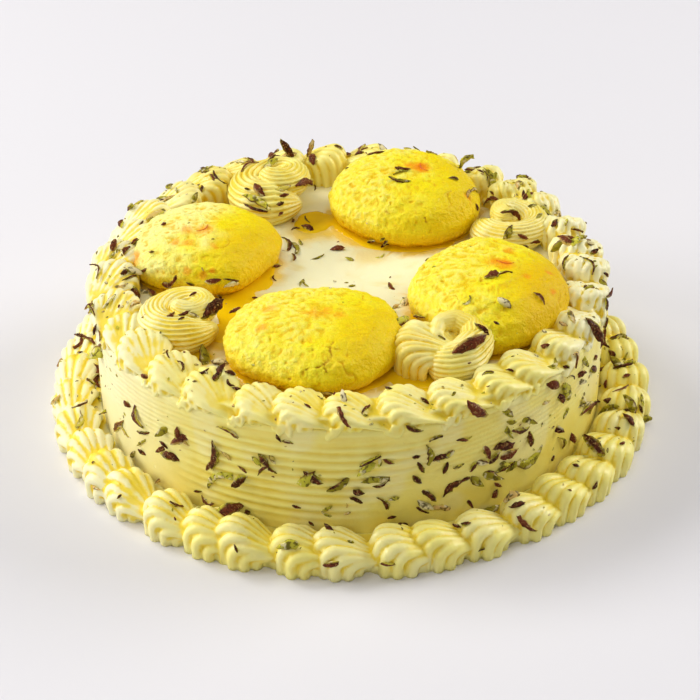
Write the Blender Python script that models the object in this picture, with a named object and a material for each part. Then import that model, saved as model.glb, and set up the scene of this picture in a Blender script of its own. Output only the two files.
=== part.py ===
"""Rasmalai cake: a round cream cake with a combed wall, cream piped round its foot and its rim,
four rasmalai patties and four piped rosettes on top, and slivers of nut all over.

Metres, +Z up. The origin is the middle of the flat underside, and -Y is the front.
"""

import math
import random

import bmesh
import bpy
from mathutils import Matrix, Vector
from mathutils.bvhtree import BVHTree

MM = 0.001
GAP = 0.35 * MM  # air between two pieces that touch
SHORTEST_EDGE = 0.02 * MM
SEED = 11

# The cake's body
CAKE_RADIUS = 100 * MM
CAKE_TOP = 51 * MM
WALL_SEGMENTS = 40
GROOVE_PITCH = 3.7 * MM
GROOVE_DEPTH = 0.9 * MM
GROOVE_FIRST = 14.5 * MM
GROOVE_COUNT = 9
SMOOTHEST_WALL = math.radians(20)  # where the comb pressed least

# The shells piped round the foot of the wall
FOOT_SHELLS = 40
FOOT_RING = 111.2 * MM
FOOT_ARCH = 9 * MM  # half the length of a shell's middle line
FOOT_RISE = 7.5 * MM
FOOT_BULB = 10.2 * MM
# turn over the arch in degrees, share of the bulb's radius
FOOT_STEPS = ((178, 0.74), (140, 0.98), (100, 1.0), (62, 0.82), (28, 0.5))
FOOT_CORE = (102 * MM, 109 * MM, -1 * MM, 6 * MM)  # inner, outer, low, high

# The strokes piped round the rim
RIM_STROKES = 33
RIM_INNER = 85.5 * MM
RIM_OUTER = 97.5 * MM
RIM_BULB = 7.4 * MM
RIM_BACK_RISE = 5 * MM
RIM_CORE = (91 * MM, 99 * MM, 50 * MM, 54 * MM)
# run along the rim in mm, share of the way out, rise over the top in mm, share of the bulb
RIM_STEPS = (
    (-9, -0.1, -0.3, 0.8),
    (-6, 0.0, 2.6, 1.05),
    (-1, 0.28, 3.3, 1.0),
    (6, 0.72, 1.7, 0.8),
    (13, 1.12, -1.4, 0.45),
)

# The star nozzle's marks
RIDGES = 3
RIDGE_DEPTH = 0.2
FLANK = 0.93  # share of a stroke's radius at which its sides run down
CORE_POINTS = 20
THINNED = 0.8  # share of a border's faces kept along its seams
FAN_FROM = math.radians(-70)
FAN_TO = math.radians(115)

# Millimetres and degrees: middle x, y, half length, half width, turn, height, extra at the back
PATTIES = {
    "rasmalai_front": (-12.5, -50.5, 33, 30.5, 0, 18, 0),
    "rasmalai_left": (-57, 17, 29, 29, 0, 19, 0),
    "rasmalai_back": (24, 54, 31, 29, -20, 20, 5),
    "rasmalai_right": (53.5, -22, 30, 34, 0, 20, 0),
}
PATTY_POINTS = 20
PATTY_WAVE = 0.03  # how uneven its outline is
# share of the height, share of the width
PATTY_LEVELS = ((0, 0.86), (0.16, 0.97), (0.42, 1.0), (0.7, 0.87), (0.9, 0.6), (1.0, 0.25))

# Millimetres and degrees: middle x, y, radius, height, turn
ROSETTES = {
    "rosette_front_right": (36, -55.5, 17.5, 17, 0),
    "rosette_left": (-61.5, -33.5, 17.5, 17, 130),
    "rosette_back_left": (-30, 66, 22.5, 22, 250),
    "rosette_back_right": (67, 35, 16.5, 17, 40),
}
ROSETTE_RIDGES = 9
ROSETTE_RIDGE_DEPTH = 0.13
ROSETTE_TWIST = 0.35  # turn of the ridges from one level to the next, in radians
# share of the height, share of the radius
ROSETTE_LEVELS = ((0, 0.92), (0.25, 1.0), (0.6, 0.9), (0.88, 0.62), (1.0, 0.34), (0.86, 0.12))

# Slivers of nut: length, width and thickness in mm, and the share sunk in the cream
SLIVER_LENGTH = (7, 12)
SLIVER_WIDTH = (3, 5.2)
SLIVER_THICKNESS = 2
SLIVER_SUNK = 0.45
SLIVER_POINTS = 8
SLIVER_WORN = 0.75  # size of the upper face against the lower
SLIVER_BEND = 0.5  # the most it curls, as a share of its width
# Patches seen from the side: node, how many, angles in degrees, heights in mm
SIDE_PATCHES = (
    ("cake_body", 8, (-62, 20), (16, 44)),
    ("cake_body", 6, (-150, -62), (16, 42)),
    ("cake_body", 5, (20, 200), (16, 42)),
    ("bottom_border", 4, (-60, 40), (4, 12)),
    ("bottom_border", 5, (40, 300), (4, 12)),
)
# Patches seen from above: node, how many, angles in degrees, distances from the middle in mm
TOP_PATCHES = (
    ("top_border", 6, (-60, 60), (86, 97)),
    ("top_border", 6, (60, 300), (86, 97)),
    ("cake_body", 3, (40, 140), (8, 40)),
    ("rasmalai_right", 2, (-50, 10), (35, 70)),
    ("rasmalai_back", 2, (40, 100), (35, 70)),
    ("rasmalai_left", 1, (130, 200), (35, 70)),
    ("rosette_left", 2, (180, 230), (55, 80)),
    ("rosette_back_left", 3, (90, 140), (50, 90)),
    ("rosette_back_right", 2, (0, 50), (55, 90)),
    ("rosette_front_right", 1, (-80, -30), (50, 80)),
)
MOST_TRIES = 60

SHARPEST_SMOOTH = math.radians(28)
CREAM = ((0.86, 0.79, 0.42, 1), 0.45)
PIPED_CREAM = ((0.88, 0.78, 0.34, 1), 0.45)
RASMALAI = ((0.90, 0.64, 0.04, 1), 0.5)


def clear_scene():
    for obj in list(bpy.data.objects):
        bpy.data.objects.remove(obj, do_unlink=True)


def material(name, colour, roughness):
    made = bpy.data.materials.new(name)
    made.use_nodes = True
    shader = made.node_tree.nodes["Principled BSDF"]
    shader.inputs["Base Color"].default_value = colour
    shader.inputs["Roughness"].default_value = roughness
    shader.inputs["Metallic"].default_value = 0
    made.diffuse_color = colour
    return made


def finish(obj, colour, roughness):
    """Gives a piece its own material, and shades it smooth but for its creases."""
    obj.data.materials.clear()
    obj.data.materials.append(material(obj.name, colour, roughness))
    obj.data.shade_smooth()
    obj.data.set_sharp_from_angle(angle=SHARPEST_SMOOTH)


def new_object(name, mesh):
    obj = bpy.data.objects.new(name, mesh)
    bpy.context.scene.collection.objects.link(obj)
    return obj


def mesh_through(rings, capped=True):
    """A closed mesh through rings of points. Without caps its last ring joins its first."""
    bm = bmesh.new()
    rows = [[bm.verts.new(point) for point in ring] for ring in rings]
    count = len(rows[0])
    for low, high in zip(rows, rows[1:] if capped else rows[1:] + rows[:1]):
        for k in range(count):
            n = (k + 1) % count
            bm.faces.new((low[k], low[n], high[n], high[k]))
    if capped:
        bm.faces.new(list(reversed(rows[0])))
        bm.faces.new(rows[-1])
    bmesh.ops.recalc_face_normals(bm, faces=bm.faces)
    mesh = bpy.data.meshes.new("piece")
    bm.to_mesh(mesh)
    bm.free()
    return mesh


def ring_point(angle, radius, z):
    return Vector((radius * math.cos(angle), radius * math.sin(angle), z))


def circle(radius, z, points=WALL_SEGMENTS):
    return [ring_point(2 * math.pi * k / points, radius, z) for k in range(points)]


# Booleans


def apply_modifiers(obj):
    bpy.context.view_layer.update()
    evaluated = obj.evaluated_get(bpy.context.evaluated_depsgraph_get())
    mesh = bpy.data.meshes.new_from_object(evaluated)
    obj.modifiers.clear()
    obj.data = mesh


def thin_out(obj, share):
    """Collapses the shortest edges, such as those along seams, until this share of faces is left."""
    modifier = obj.modifiers.new("Thin out", "DECIMATE")
    modifier.ratio = share
    apply_modifiers(obj)


def boolean(obj, others, operation):
    """Joins others to obj, or cuts them from it, and removes them."""
    group = bpy.data.collections.new("operands")
    for other in others:
        group.objects.link(other)
    modifier = obj.modifiers.new(operation.title(), "BOOLEAN")
    modifier.operation = operation
    modifier.operand_type = "COLLECTION"
    modifier.collection = group
    apply_modifiers(obj)
    for other in others:
        bpy.data.objects.remove(other, do_unlink=True)
    bpy.data.collections.remove(group)
    tidy(obj)


def tidy(obj):
    """Drops loose scraps, fills sealed hollows, and makes sound triangles of what is left."""
    bm = bmesh.new()
    bm.from_mesh(obj.data)
    left = set(bm.verts)
    bodies = []
    while left:
        body = {left.pop()}
        front = set(body)
        while front:
            front = {edge.other_vert(v) for v in front for edge in v.link_edges} - body
            body |= front
        left -= body
        bodies.append(body)
    bodies.sort(key=len)
    scraps = [v for body in bodies[:-1] for v in body]
    bmesh.ops.delete(bm, geom=scraps, context="VERTS")
    on_an_edge = [v for v in bm.verts if len(v.link_edges) == 2]
    bmesh.ops.dissolve_verts(bm, verts=on_an_edge)
    bmesh.ops.dissolve_degenerate(bm, dist=SHORTEST_EDGE, edges=bm.edges)
    bmesh.ops.triangulate(bm, faces=bm.faces, ngon_method="BEAUTY")
    bm.to_mesh(obj.data)
    bm.free()


# The body


def groove_depth(angle, z):
    """How deep the comb cut here. Its grooves fade round one side."""
    turn = (z - GROOVE_FIRST) / GROOVE_PITCH
    fade = 0.7 - 0.3 * math.cos(angle - SMOOTHEST_WALL)
    return GROOVE_DEPTH * fade * (0.5 + 0.5 * math.cos(2 * math.pi * turn))


def cake_body():
    rings = [circle(CAKE_RADIUS, 0)]
    for i in range(-1, 2 * GROOVE_COUNT):
        z = GROOVE_FIRST + GROOVE_PITCH * i / 2
        angles = [2 * math.pi * k / WALL_SEGMENTS for k in range(WALL_SEGMENTS)]
        rings.append([ring_point(a, CAKE_RADIUS - groove_depth(a, z), z) for a in angles])
    rings.append(circle(CAKE_RADIUS, CAKE_TOP))
    return new_object("cake_body", mesh_through(rings))


def body_clearance():
    """The body grown by the gap, to cut the piping with."""
    low, high = -40 * MM, CAKE_TOP + GAP
    rings = [circle(CAKE_RADIUS + GAP, z) for z in (low, high)]
    return new_object("clearance", mesh_through(rings))


def floor_clearance():
    rings = [circle(2 * CAKE_RADIUS, z, 8) for z in (-50 * MM, 0)]
    return new_object("clearance", mesh_through(rings))


# The piping


def core_ring(name, inner, outer, low, high):
    """The plain ring of cream under the strokes of a border."""
    corners = ((inner, low), (outer, low), (outer, high), (inner, high))
    rings = [circle(*corner, CORE_POINTS) for corner in corners]
    return new_object(name, mesh_through(rings, capped=False))


def piped_stroke(path, tops, radii, skirts):
    """A stroke from a star nozzle: ridges fanned over a path, and sides that run down.

    For each point of the path, tops is the direction in which the stroke is piled up, radii is
    its thickness and skirts is how far its sides reach the other way.
    """
    rings = []
    last = len(path) - 1
    for i, (point, top, radius, skirt) in enumerate(zip(path, tops, radii, skirts)):
        along = (path[min(i + 1, last)] - path[max(i - 1, 0)]).normalized()
        side = along.cross(top).normalized()
        ring = [point - FLANK * radius * side - skirt * top]
        for k in range(1, 2 * RIDGES):
            fan = FAN_FROM + (FAN_TO - FAN_FROM) * (k / (2 * RIDGES))
            reach = radius * (1 - RIDGE_DEPTH * (k % 2 == 0))
            ring.append(point + reach * (math.sin(fan) * side + math.cos(fan) * top))
        ring.append(point + FLANK * radius * side - skirt * top)
        rings.append(ring)
    return mesh_through(rings)


def directions_at(angle):
    """Along the ring, outward and up, at an angle of the cake."""
    along = Vector((-math.sin(angle), math.cos(angle), 0))
    outward = Vector((math.cos(angle), math.sin(angle), 0))
    return along, outward, Vector((0, 0, 1))


def foot_shell(angle, size):
    """A shell: it rises steeply on its left, arches over and runs down to a tail on its right."""
    along, outward, up = directions_at(angle)
    path, tops, radii = [], [], []
    for degrees, share in FOOT_STEPS:
        turn = math.radians(degrees)
        arch = FOOT_ARCH * math.cos(turn) * along + FOOT_RISE * math.sin(turn) * up
        path.append(FOOT_RING * outward + size * arch)
        tops.append(math.cos(turn) * along + math.sin(turn) * up)
        radii.append(size * share * FOOT_BULB)
    return piped_stroke(path, tops, radii, [4 * MM] * len(path))


def foot_border(rng):
    shells = []
    for k in range(FOOT_SHELLS):
        angle = 2 * math.pi * (k + rng.uniform(-0.12, 0.12)) / FOOT_SHELLS
        shells.append(new_object("shell", foot_shell(angle, rng.uniform(0.95, 1.04))))
    border = core_ring("bottom_border", *FOOT_CORE)
    boolean(border, shells, "UNION")
    boolean(border, [floor_clearance()], "DIFFERENCE")
    thin_out(border, THINNED)
    return border


def rim_rise(angle):
    """How much higher the piping stands towards the back."""
    return RIM_BACK_RISE * (0.5 + 0.5 * math.sin(angle)) ** 1.5


def rim_stroke(angle, size):
    """A stroke: a bulb on the inner left, and a tail that runs out to a foot over the wall."""
    along, outward, up = directions_at(angle)
    path, radii, skirts = [], [], []
    for run, share, rise, bulb in RIM_STEPS:
        out = RIM_INNER + share * (RIM_OUTER - RIM_INNER)
        height = CAKE_TOP + rise * MM + rim_rise(angle) * (RIM_STEPS[-1][1] - share)
        path.append(out * outward + run * MM * along + height * up)
        radii.append(size * bulb * RIM_BULB)
        skirts.append(max(height - CAKE_TOP, 0) + 1 * MM)
    tops = []
    last = len(path) - 1
    for i in range(len(path)):
        way = (path[min(i + 1, last)] - path[max(i - 1, 0)]).normalized()
        tops.append((up - way * way.dot(up)).normalized())
    return piped_stroke(path, tops, radii, skirts)


def rim_border(rng):
    strokes = []
    for k in range(RIM_STROKES):
        angle = 2 * math.pi * (k + rng.uniform(-0.15, 0.15)) / RIM_STROKES
        strokes.append(new_object("stroke", rim_stroke(angle, rng.uniform(0.92, 1.08))))
    border = core_ring("top_border", *RIM_CORE)
    boolean(border, strokes, "UNION")
    return border


# What stands on top


def put_on_top(mesh, x, y, turn):
    mesh.transform(Matrix.Rotation(math.radians(turn), 4, "Z"))
    mesh.transform(Matrix.Translation((x * MM, y * MM, CAKE_TOP + GAP)))


def patty(name, x, y, half_length, half_width, turn, height, back_extra, grow=0.0):
    """A flattened dumpling: an uneven round with a bulging side and a domed top."""
    rng = random.Random(name)
    waves = [(n, rng.uniform(-1, 1), rng.uniform(0, 2 * math.pi)) for n in (2, 3, 4, 5)]
    rings = []
    for share, width in PATTY_LEVELS:
        ring = []
        for k in range(PATTY_POINTS):
            a = 2 * math.pi * k / PATTY_POINTS
            uneven = 1 + PATTY_WAVE * sum(size * math.sin(n * a + start) for n, size, start in waves)
            long_way = (half_length * MM * width * uneven + grow) * math.cos(a)
            short_way = (half_width * MM * width * uneven + grow) * math.sin(a)
            back = 0.5 + 0.5 * math.sin(a + math.radians(turn)) * width
            z = share * ((height + back_extra * back) * MM + grow)
            ring.append(Vector((long_way, short_way, z if share else -grow)))
        rings.append(ring)
    mesh = mesh_through(rings)
    put_on_top(mesh, x, y, turn)
    return new_object(name, mesh)


def rosette(name, x, y, radius, height, turn, grow=0.0):
    """A swirl of cream: ridges wind up a dome into the dip at its middle.

    With grow it is the plain dome round the swirl, to cut its neighbours with.
    """
    rings = []
    for i, (share, width) in enumerate(ROSETTE_LEVELS):
        ring = []
        for k in range(2 * ROSETTE_RIDGES):
            a = math.pi * k / ROSETTE_RIDGES - ROSETTE_TWIST * i
            valley = 0 if grow else ROSETTE_RIDGE_DEPTH * (k % 2)
            reach = radius * MM * width * (1 - valley) + grow
            z = share * (height * MM + grow)
            ring.append(ring_point(a, reach, z if share else -grow))
        rings.append(ring)
    if grow:
        rings.pop()
    mesh = mesh_through(rings)
    put_on_top(mesh, x, y, turn)
    return new_object(name, mesh)


def grown_patties():
    return [patty(name, *sizes, grow=1.5 * GAP) for name, sizes in PATTIES.items()]


def grown_rosettes():
    return [rosette(name, *sizes, grow=1.5 * GAP) for name, sizes in ROSETTES.items()]


# The slivers


def sliver_mesh(rng, grow=0.0):
    """A thin crescent of nut with its upper edge worn round."""
    length = rng.uniform(*SLIVER_LENGTH) * MM + 2 * grow
    width = rng.uniform(*SLIVER_WIDTH) * MM + 2 * grow
    bend = rng.uniform(-SLIVER_BEND, SLIVER_BEND) * width
    low = -SLIVER_SUNK * SLIVER_THICKNESS * MM - grow
    high = (1 - SLIVER_SUNK) * SLIVER_THICKNESS * MM + grow
    rings = []
    for z, share in ((low, 1.0), (high, SLIVER_WORN)):
        ring = []
        for k in range(SLIVER_POINTS):
            a = 2 * math.pi * k / SLIVER_POINTS
            across = 0.5 * width * math.sin(a) + bend * (math.cos(a) ** 2 - 0.5)
            ring.append(Vector((0.5 * length * math.cos(a) * share, across * share, z)))
        rings.append(ring)
    return mesh_through(rings)


def tree_of(mesh):
    bm = bmesh.new()
    bm.from_mesh(mesh)
    tree = BVHTree.FromBMesh(bm)
    bm.free()
    return tree


def lay(place, normal, spin):
    """The matrix that lays a sliver at a place, flat on a surface with this normal."""
    turn = normal.to_track_quat("Z", "Y").to_matrix().to_4x4()
    return Matrix.Translation(place) @ turn @ Matrix.Rotation(spin, 4, "Z")


def first_hit(trees, start, way):
    """The node that a ray meets first, and the place and the normal there."""
    hits = []
    for name, tree in trees.items():
        place, normal, _, distance = tree.ray_cast(start, way)
        if place is not None:
            hits.append((distance, name, place, normal))
    return min(hits, key=lambda hit: hit[0])[1:] if hits else (None, None, None)


def try_sliver(rng, trees, laid, node, start, way):
    """Lays one sliver where the ray meets the node, if it stays clear of all the rest."""
    name, place, normal = first_hit(trees, start, way)
    spin = rng.uniform(0, 2 * math.pi)
    state = rng.getstate()
    mesh = sliver_mesh(rng)
    if name != node:
        return None
    rng.setstate(state)
    guard = sliver_mesh(rng, grow=2 * GAP)
    matrix = lay(place, (normal - way).normalized(), spin)
    mesh.transform(matrix)
    guard.transform(matrix)
    room = tree_of(guard)
    others = [tree for other, tree in trees.items() if other != node] + laid
    if any(room.overlap(other) for other in others):
        return None
    laid.append(room)
    return new_object("sliver", mesh)


def side_ray(rng, angles, heights):
    angle = math.radians(rng.uniform(*angles))
    z = rng.uniform(*heights) * MM
    inward = ring_point(angle, -1, 0)
    return ring_point(angle, 2 * CAKE_RADIUS, z), inward


def top_ray(rng, angles, distances):
    angle = math.radians(rng.uniform(*angles))
    return ring_point(angle, rng.uniform(*distances) * MM, 2 * CAKE_TOP), Vector((0, 0, -1))


def scatter_slivers(rng, nodes):
    trees = {obj.name: tree_of(obj.data) for obj in nodes}
    laid = []
    slivers = {obj.name: [] for obj in nodes}
    patches = [(side_ray, *patch) for patch in SIDE_PATCHES]
    patches += [(top_ray, *patch) for patch in TOP_PATCHES]
    for ray, node, count, angles, reaches in patches:
        wanted = len(slivers[node]) + count
        for _ in range(MOST_TRIES * count):
            if len(slivers[node]) == wanted:
                break
            sliver = try_sliver(rng, trees, laid, node, *ray(rng, angles, reaches))
            if sliver:
                slivers[node].append(sliver)
    for obj in nodes:
        if slivers[obj.name]:
            boolean(obj, slivers[obj.name], "UNION")


def main():
    clear_scene()
    rng = random.Random(SEED)
    body = cake_body()
    foot = foot_border(rng)
    rim = rim_border(rng)
    patties = [patty(name, *sizes) for name, sizes in PATTIES.items()]
    rosettes = [rosette(name, *sizes) for name, sizes in ROSETTES.items()]
    for swirl in rosettes:
        boolean(swirl, grown_patties(), "DIFFERENCE")
    boolean(rim, grown_patties() + grown_rosettes() + [body_clearance()], "DIFFERENCE")
    thin_out(rim, THINNED)
    nodes = [body, foot, rim] + rosettes + patties
    scatter_slivers(rng, nodes)
    finish(body, *CREAM)
    for obj in [foot, rim] + rosettes:
        finish(obj, *PIPED_CREAM)
    for obj in patties:
        finish(obj, *RASMALAI)


main()
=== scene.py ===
"""The looks of the rasmalai cake: combed cream, piped shells and swirls, crumbly yellow patties,
syrup, slivers of nut and saffron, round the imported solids."""

import itertools
import math
import random

import bmesh
import bpy
import numpy as np
from mathutils import Matrix, Quaternion, Vector
from mathutils.bvhtree import BVHTree


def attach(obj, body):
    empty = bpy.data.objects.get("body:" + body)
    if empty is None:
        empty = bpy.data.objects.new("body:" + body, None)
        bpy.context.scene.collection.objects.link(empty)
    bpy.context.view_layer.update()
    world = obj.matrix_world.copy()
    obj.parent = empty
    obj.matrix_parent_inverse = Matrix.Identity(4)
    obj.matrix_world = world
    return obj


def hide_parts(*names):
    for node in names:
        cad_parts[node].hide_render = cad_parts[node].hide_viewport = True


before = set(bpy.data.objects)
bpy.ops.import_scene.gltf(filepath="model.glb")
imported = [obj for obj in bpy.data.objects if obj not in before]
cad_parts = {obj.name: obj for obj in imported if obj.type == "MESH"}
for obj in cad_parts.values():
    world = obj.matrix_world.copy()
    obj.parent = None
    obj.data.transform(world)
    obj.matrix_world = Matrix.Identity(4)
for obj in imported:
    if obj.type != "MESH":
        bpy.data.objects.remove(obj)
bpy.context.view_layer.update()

MM = 0.001
SEED = 11  # the solids' own seed, so that each stroke lies on its solid

# The cake's body, in mm
CAKE_RADIUS = 100
CAKE_TOP = 51
WALL_COLUMNS = 520
WALL_STEP = 0.5
TOP_RINGS = 30
EDGE_ROUND = 2.5
# The comb's grooves in the wall, in mm up it, and where round it they are bold, in degrees
GROOVE_PITCH = 3.7
GROOVE_FIRST = 14.5
GROOVE_LAST = 48
GROOVE_FADE = 8
GROOVE_DEPTH = 0.95
BOLD_FROM = (-133, -114)
BOLD_TO = (-84, -62)
BOLD_SLANT = 0.5  # degrees that the bold ones end later for each mm down
BOLD_AT_BACK = (20, 60)
FINE_PITCH = 2.1
FINE_DEPTH = 0.2
FINE_SLANT = 0.12  # mm up for each degree round
FINE_FROM = (22, 34)

# The shells round the foot, in mm and degrees. A shell is a fan of ropes that start round its head,
# rise over it and run together in its tail.
FOOT_SHELLS = 40
FOOT_RING = 110.6
FOOT_HEAD = (8.8, 7.6, 12.6)  # half length, half width, height
FOOT_HEAD_BACK = 3
FOOT_TAIL = (19, 2.0, 3.0)  # along, outward, up
FOOT_FAN = range(-70, 145, 30)
FOOT_CORE = (107.5, 7.5, 6)  # middle radius, half width, height

# The strokes round the rim, in mm and degrees
RIM_STROKES = 33
RIM_RING = 91.5
RIM_HEAD = (7.9, 7.6, 9.8)
RIM_HEAD_BACK = 3
RIM_TAIL = (17.5, 0.5, -1.5)
RIM_SLANT = 24
RIM_SLANT_SPREAD = 7
RIM_FAN = range(-120, 150, 24)
RIM_BACK_RISE = 4.5
RIM_FRONT_FLAT = 0.3  # how much lower the strokes are at the front, as a share
RIM_CORE = (91.5, 6.5, 54.5)
RIM_CORE_FOOT = 49
# Where the strokes are torn and ragged, in degrees
TORN_FROM = (-40, -10)
TORN_TO = (50, 80)
# The frills under a stroke's head: where on the fan, in degrees, and their sizes in mm
FRILLS = (22, 42, 62, 82)
FRILL_STATIONS = 13
FRILL_ROPE = 0.75
FRILL_RISE = 1.5  # of its foot over the cake's top
FRILL_PROUD = 0.6  # beyond the wall
FRILL_DROP = (2.6, 5.0)
FRILL_SPAN = (2.0, 3.8)
FRILL_LEAN = 1.2

ROPE_SHARE = 0.51  # of the gap between two ropes, for a rope's radius
ROPE_STATIONS = 26
ROPE_POINTS = 10
CORE_POINTS = 96
SWIRL_CORE_POINTS = 48
STROKE_POINTS = 160
FOOT_VOXEL = 0.5
RIM_VOXEL = 0.42
SWIRL_VOXEL = 0.33
PATTY_VOXEL = 0.42
MOST_FOOT_TRIANGLES = 155000
MOST_RIM_TRIANGLES = 165000
MOST_BODY_TRIANGLES = 96000
MOST_SWIRL_TRIANGLES = 41000
MOST_SWEPT_TRIANGLES = 60000
MOST_PATTY_TRIANGLES = 53000

# Millimetres and degrees: middle x, y, half length, half width, turn, height, extra at the back
PATTIES = {
    "rasmalai_front": (-12.5, -50.5, 33, 30.5, 0, 18, 0),
    "rasmalai_left": (-57, 17, 29, 29, 0, 19, 0),
    "rasmalai_back": (24, 54, 31, 29, -20, 20, 5),
    "rasmalai_right": (53.5, -22, 30, 34, 0, 20, 0),
}
PATTY_WAVE = 0.03
CRUMB_ROUNDS = 3  # of edges round a point, for how deep it lies in the crumb
# How pale each one's crumbly side is, a painted highlight, and how deep its soaked side, partly soaked
# curd and partly painted shade, from 0 to 1
LIT_SIDE_HIGHLIGHT = {
    "rasmalai_front": 0.2,
    "rasmalai_left": 1.0,
    "rasmalai_back": 0.15,
    "rasmalai_right": 0.15,
}
SOAK_AND_SHADE = {
    "rasmalai_front": 0.6,
    "rasmalai_left": 0.7,
    "rasmalai_back": 0.55,
    "rasmalai_right": 0.9,
}
# A patty's outline from the side: share of the height, share of the width
PATTY_LEVELS = ((0, 0.87), (0.16, 0.98), (0.42, 1.01), (0.7, 0.92), (0.9, 0.68), (1.0, 0.3))
PATTY_COLUMNS = 260
PATTY_ROWS = 110

# Millimetres and degrees: middle x, y, radius, height
ROSETTES = {
    "rosette_front_right": (36, -55.5, 17.5, 17),
    "rosette_left": (-61.5, -33.5, 17.5, 17),
    "rosette_back_left": (-30, 66, 22.5, 22),
    "rosette_back_right": (67, 35, 16.5, 17),
}
# A rosette is one stroke wound up: where it starts in degrees, its turns, its way round, its ridges,
# its thickness as a share of the radius, at the start and at the eye, and how far it spreads
WOUND = {
    "rosette_left": (335, 1.35, -1, 23, 0.50, 0.25, 1.14),
    "rosette_back_left": (320, 1.3, -1, 21, 0.48, 0.27, 1.0),
    "rosette_back_right": (150, 1.3, 1, 23, 0.48, 0.26, 1.14),
}
WOUND_CORE = ((-0.02, 0.5), (0.5, 0.3))  # height and radius of the cream inside it, as shares
# The front right rosette's stroke climbs and curls over: mm from its middle, and its radius
SWEPT = "rosette_front_right"
SWEEP = (
    (-8, -9.5, 3.5, 5.5),
    (-1, -11, 4.5, 7.5),
    (6, -8.5, 6, 7.8),
    (10.5, -1.5, 8.3, 6.8),
    (8.8, 5.0, 10.8, 5.2),
    (2.5, 7.2, 12.6, 4.0),
    (-3.2, 4.4, 12.9, 3.2),
    (-4.6, -0.4, 12.0, 2.6),
    (-2.2, -3.0, 11.0, 2.0),
)
SWEEP_RIDGES = 21
SWEEP_TWIST = -1.6
SWEPT_CORE = ((-1, 9), (7, 6), (9.5, 4))  # height and radius of the cream inside it
# The fan that the stroke was started with: mm from the rosette's middle, degrees, mm
FAN_PLACE = (-9.5, -2, 0)
FAN_WAY = -20
FAN_HEAD = (9.5, 11, 12)
FAN_TAIL = (17, 1, 7)
FAN_ROPES = range(-110, 120, 17)
WOUND_DEPTH = 0.18  # of a star stroke's valleys, as a share of its radius
ROSETTE_STATIONS = 150
ROSETTE_SUNK = 0.5  # below the cake's top, where it is cut off

# The photograph's camera: mm from its target, mm, degrees, and its frame in pixels
FRAME_PIXELS = 700
FOCAL_PIXELS = 1785.2
CAMERA_DISTANCE = 700.06
CAMERA_TARGET = (0.14, -15.44, 30)
CAMERA_ELEVATION = 32.71
CAMERA_ROLL = 0.84
SENSOR = 36
PIXELS_PER_MM = 2.55
CAKE_PIXEL = (350, 330)  # the middle of the cake

FLOOR_RADIUS = 3000  # mm
FLOOR_CORNERS = 64

# Colours, linear
CREAM = (0.88, 0.765, 0.185)
# partly random pale tone, partly painted highlight and sheen
CREAM_PALE_AND_HIGHLIGHT = (0.92, 0.88, 0.59)
# painted highlight on the cream's ridges
CREAM_RIDGE_HIGHLIGHT = (0.92, 0.85, 0.27)
CREAM_DEEP = (0.86, 0.70, 0.12)
# painted shade in the cream's valleys
CREAM_VALLEY_SHADE = (0.78, 0.58, 0.035)
SYRUP = (0.82, 0.53, 0.005)
DRIP = (0.91, 0.70, 0.02)
PATTY_LIGHT = (0.93, 0.82, 0.016)
PATTY = (0.92, 0.75, 0.004)
# painted highlight on the patties' left, back side and crumb tops
PATTY_HIGHLIGHT = (0.95, 0.90, 0.29)
# deeper colour of soaked curd and syrup, also used as painted shade
PATTY_DEEP_AND_SHADE = (0.82, 0.51, 0.002)
# painted shade in the cracks
PATTY_SPLIT_SHADE = (0.62, 0.33, 0.006)
STAIN = (0.90, 0.28, 0.004)
NUT_SKIN = (0.042, 0.010, 0.003)
NUT_SKIN_RED = (0.17, 0.038, 0.012)
NUT_PALE = (0.80, 0.70, 0.40)
NUT_GREEN = (0.26, 0.21, 0.010)
NUT_GREEN_LIGHT = (0.58, 0.53, 0.045)
NUT_DARK = (0.085, 0.062, 0.007)
NUT_TAN = (0.62, 0.40, 0.13)
SAFFRON = (0.55, 0.10, 0.008)
SAFFRON_LIGHT = (0.825, 0.15, 0.012)
FLOOR = (0.73, 0.715, 0.745)
FLOOR_LIGHT = (0.75, 0.735, 0.76)
DAYLIGHT = (0.985, 0.98, 1.0)
DAYLIGHT_STRENGTH = 0.08

# Round lights aimed at the cake: place and width in metres, power in watts, colour
LIGHTS = {
    "key": ((-1.1, 0.75, 1.35), 0.7, 14, (1, 0.99, 0.97)),
    "top": ((-0.1, -0.1, 2.0), 1.4, 8.5, (1, 1, 1)),
    "left": ((-1.8, 0.12, 0.7), 1.2, 25.4, (1, 0.99, 0.97)),
    "right": ((1.6, 0.6, 0.95), 1.2, 27, (1, 0.99, 0.98)),
    "front": ((-0.3, -1.6, 1.2), 1.4, 9, (1, 0.995, 0.98)),
}
LIT_PLACE = (0, 0, 0.03)


# Smooth random values

LATTICE_SIZE = 32
LATTICE = np.random.default_rng(SEED).uniform(-1, 1, (LATTICE_SIZE,) * 3)


def noise(points, size, shift=0.0):
    """Smooth random values from -1 to 1 at points in mm, one swell every size."""
    q = np.asarray(points, float) / size + shift
    cell = np.floor(q).astype(int)
    t = q - cell
    t = t * t * (3 - 2 * t)
    total = np.zeros(len(q))
    for corner in itertools.product((0, 1), repeat=3):
        weight = np.prod(np.where(corner, t, 1 - t), axis=1)
        index = (cell + corner) % LATTICE_SIZE
        total += weight * LATTICE[index[:, 0], index[:, 1], index[:, 2]]
    return total


def layered_noise(points, size, layers, shift=0.0):
    """Noise with finer noise on it, each layer half the size and half the strength."""
    return sum(noise(points, size / 2**n, shift + 5.3 * n) / 2**n for n in range(layers))


def ramp(values, low, high):
    """0 below low, 1 above high and smooth between."""
    t = np.clip((np.asarray(values, float) - low) / (high - low), 0, 1)
    return t * t * (3 - 2 * t)


# Meshes. Points are in mm until an object is made of them.


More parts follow.
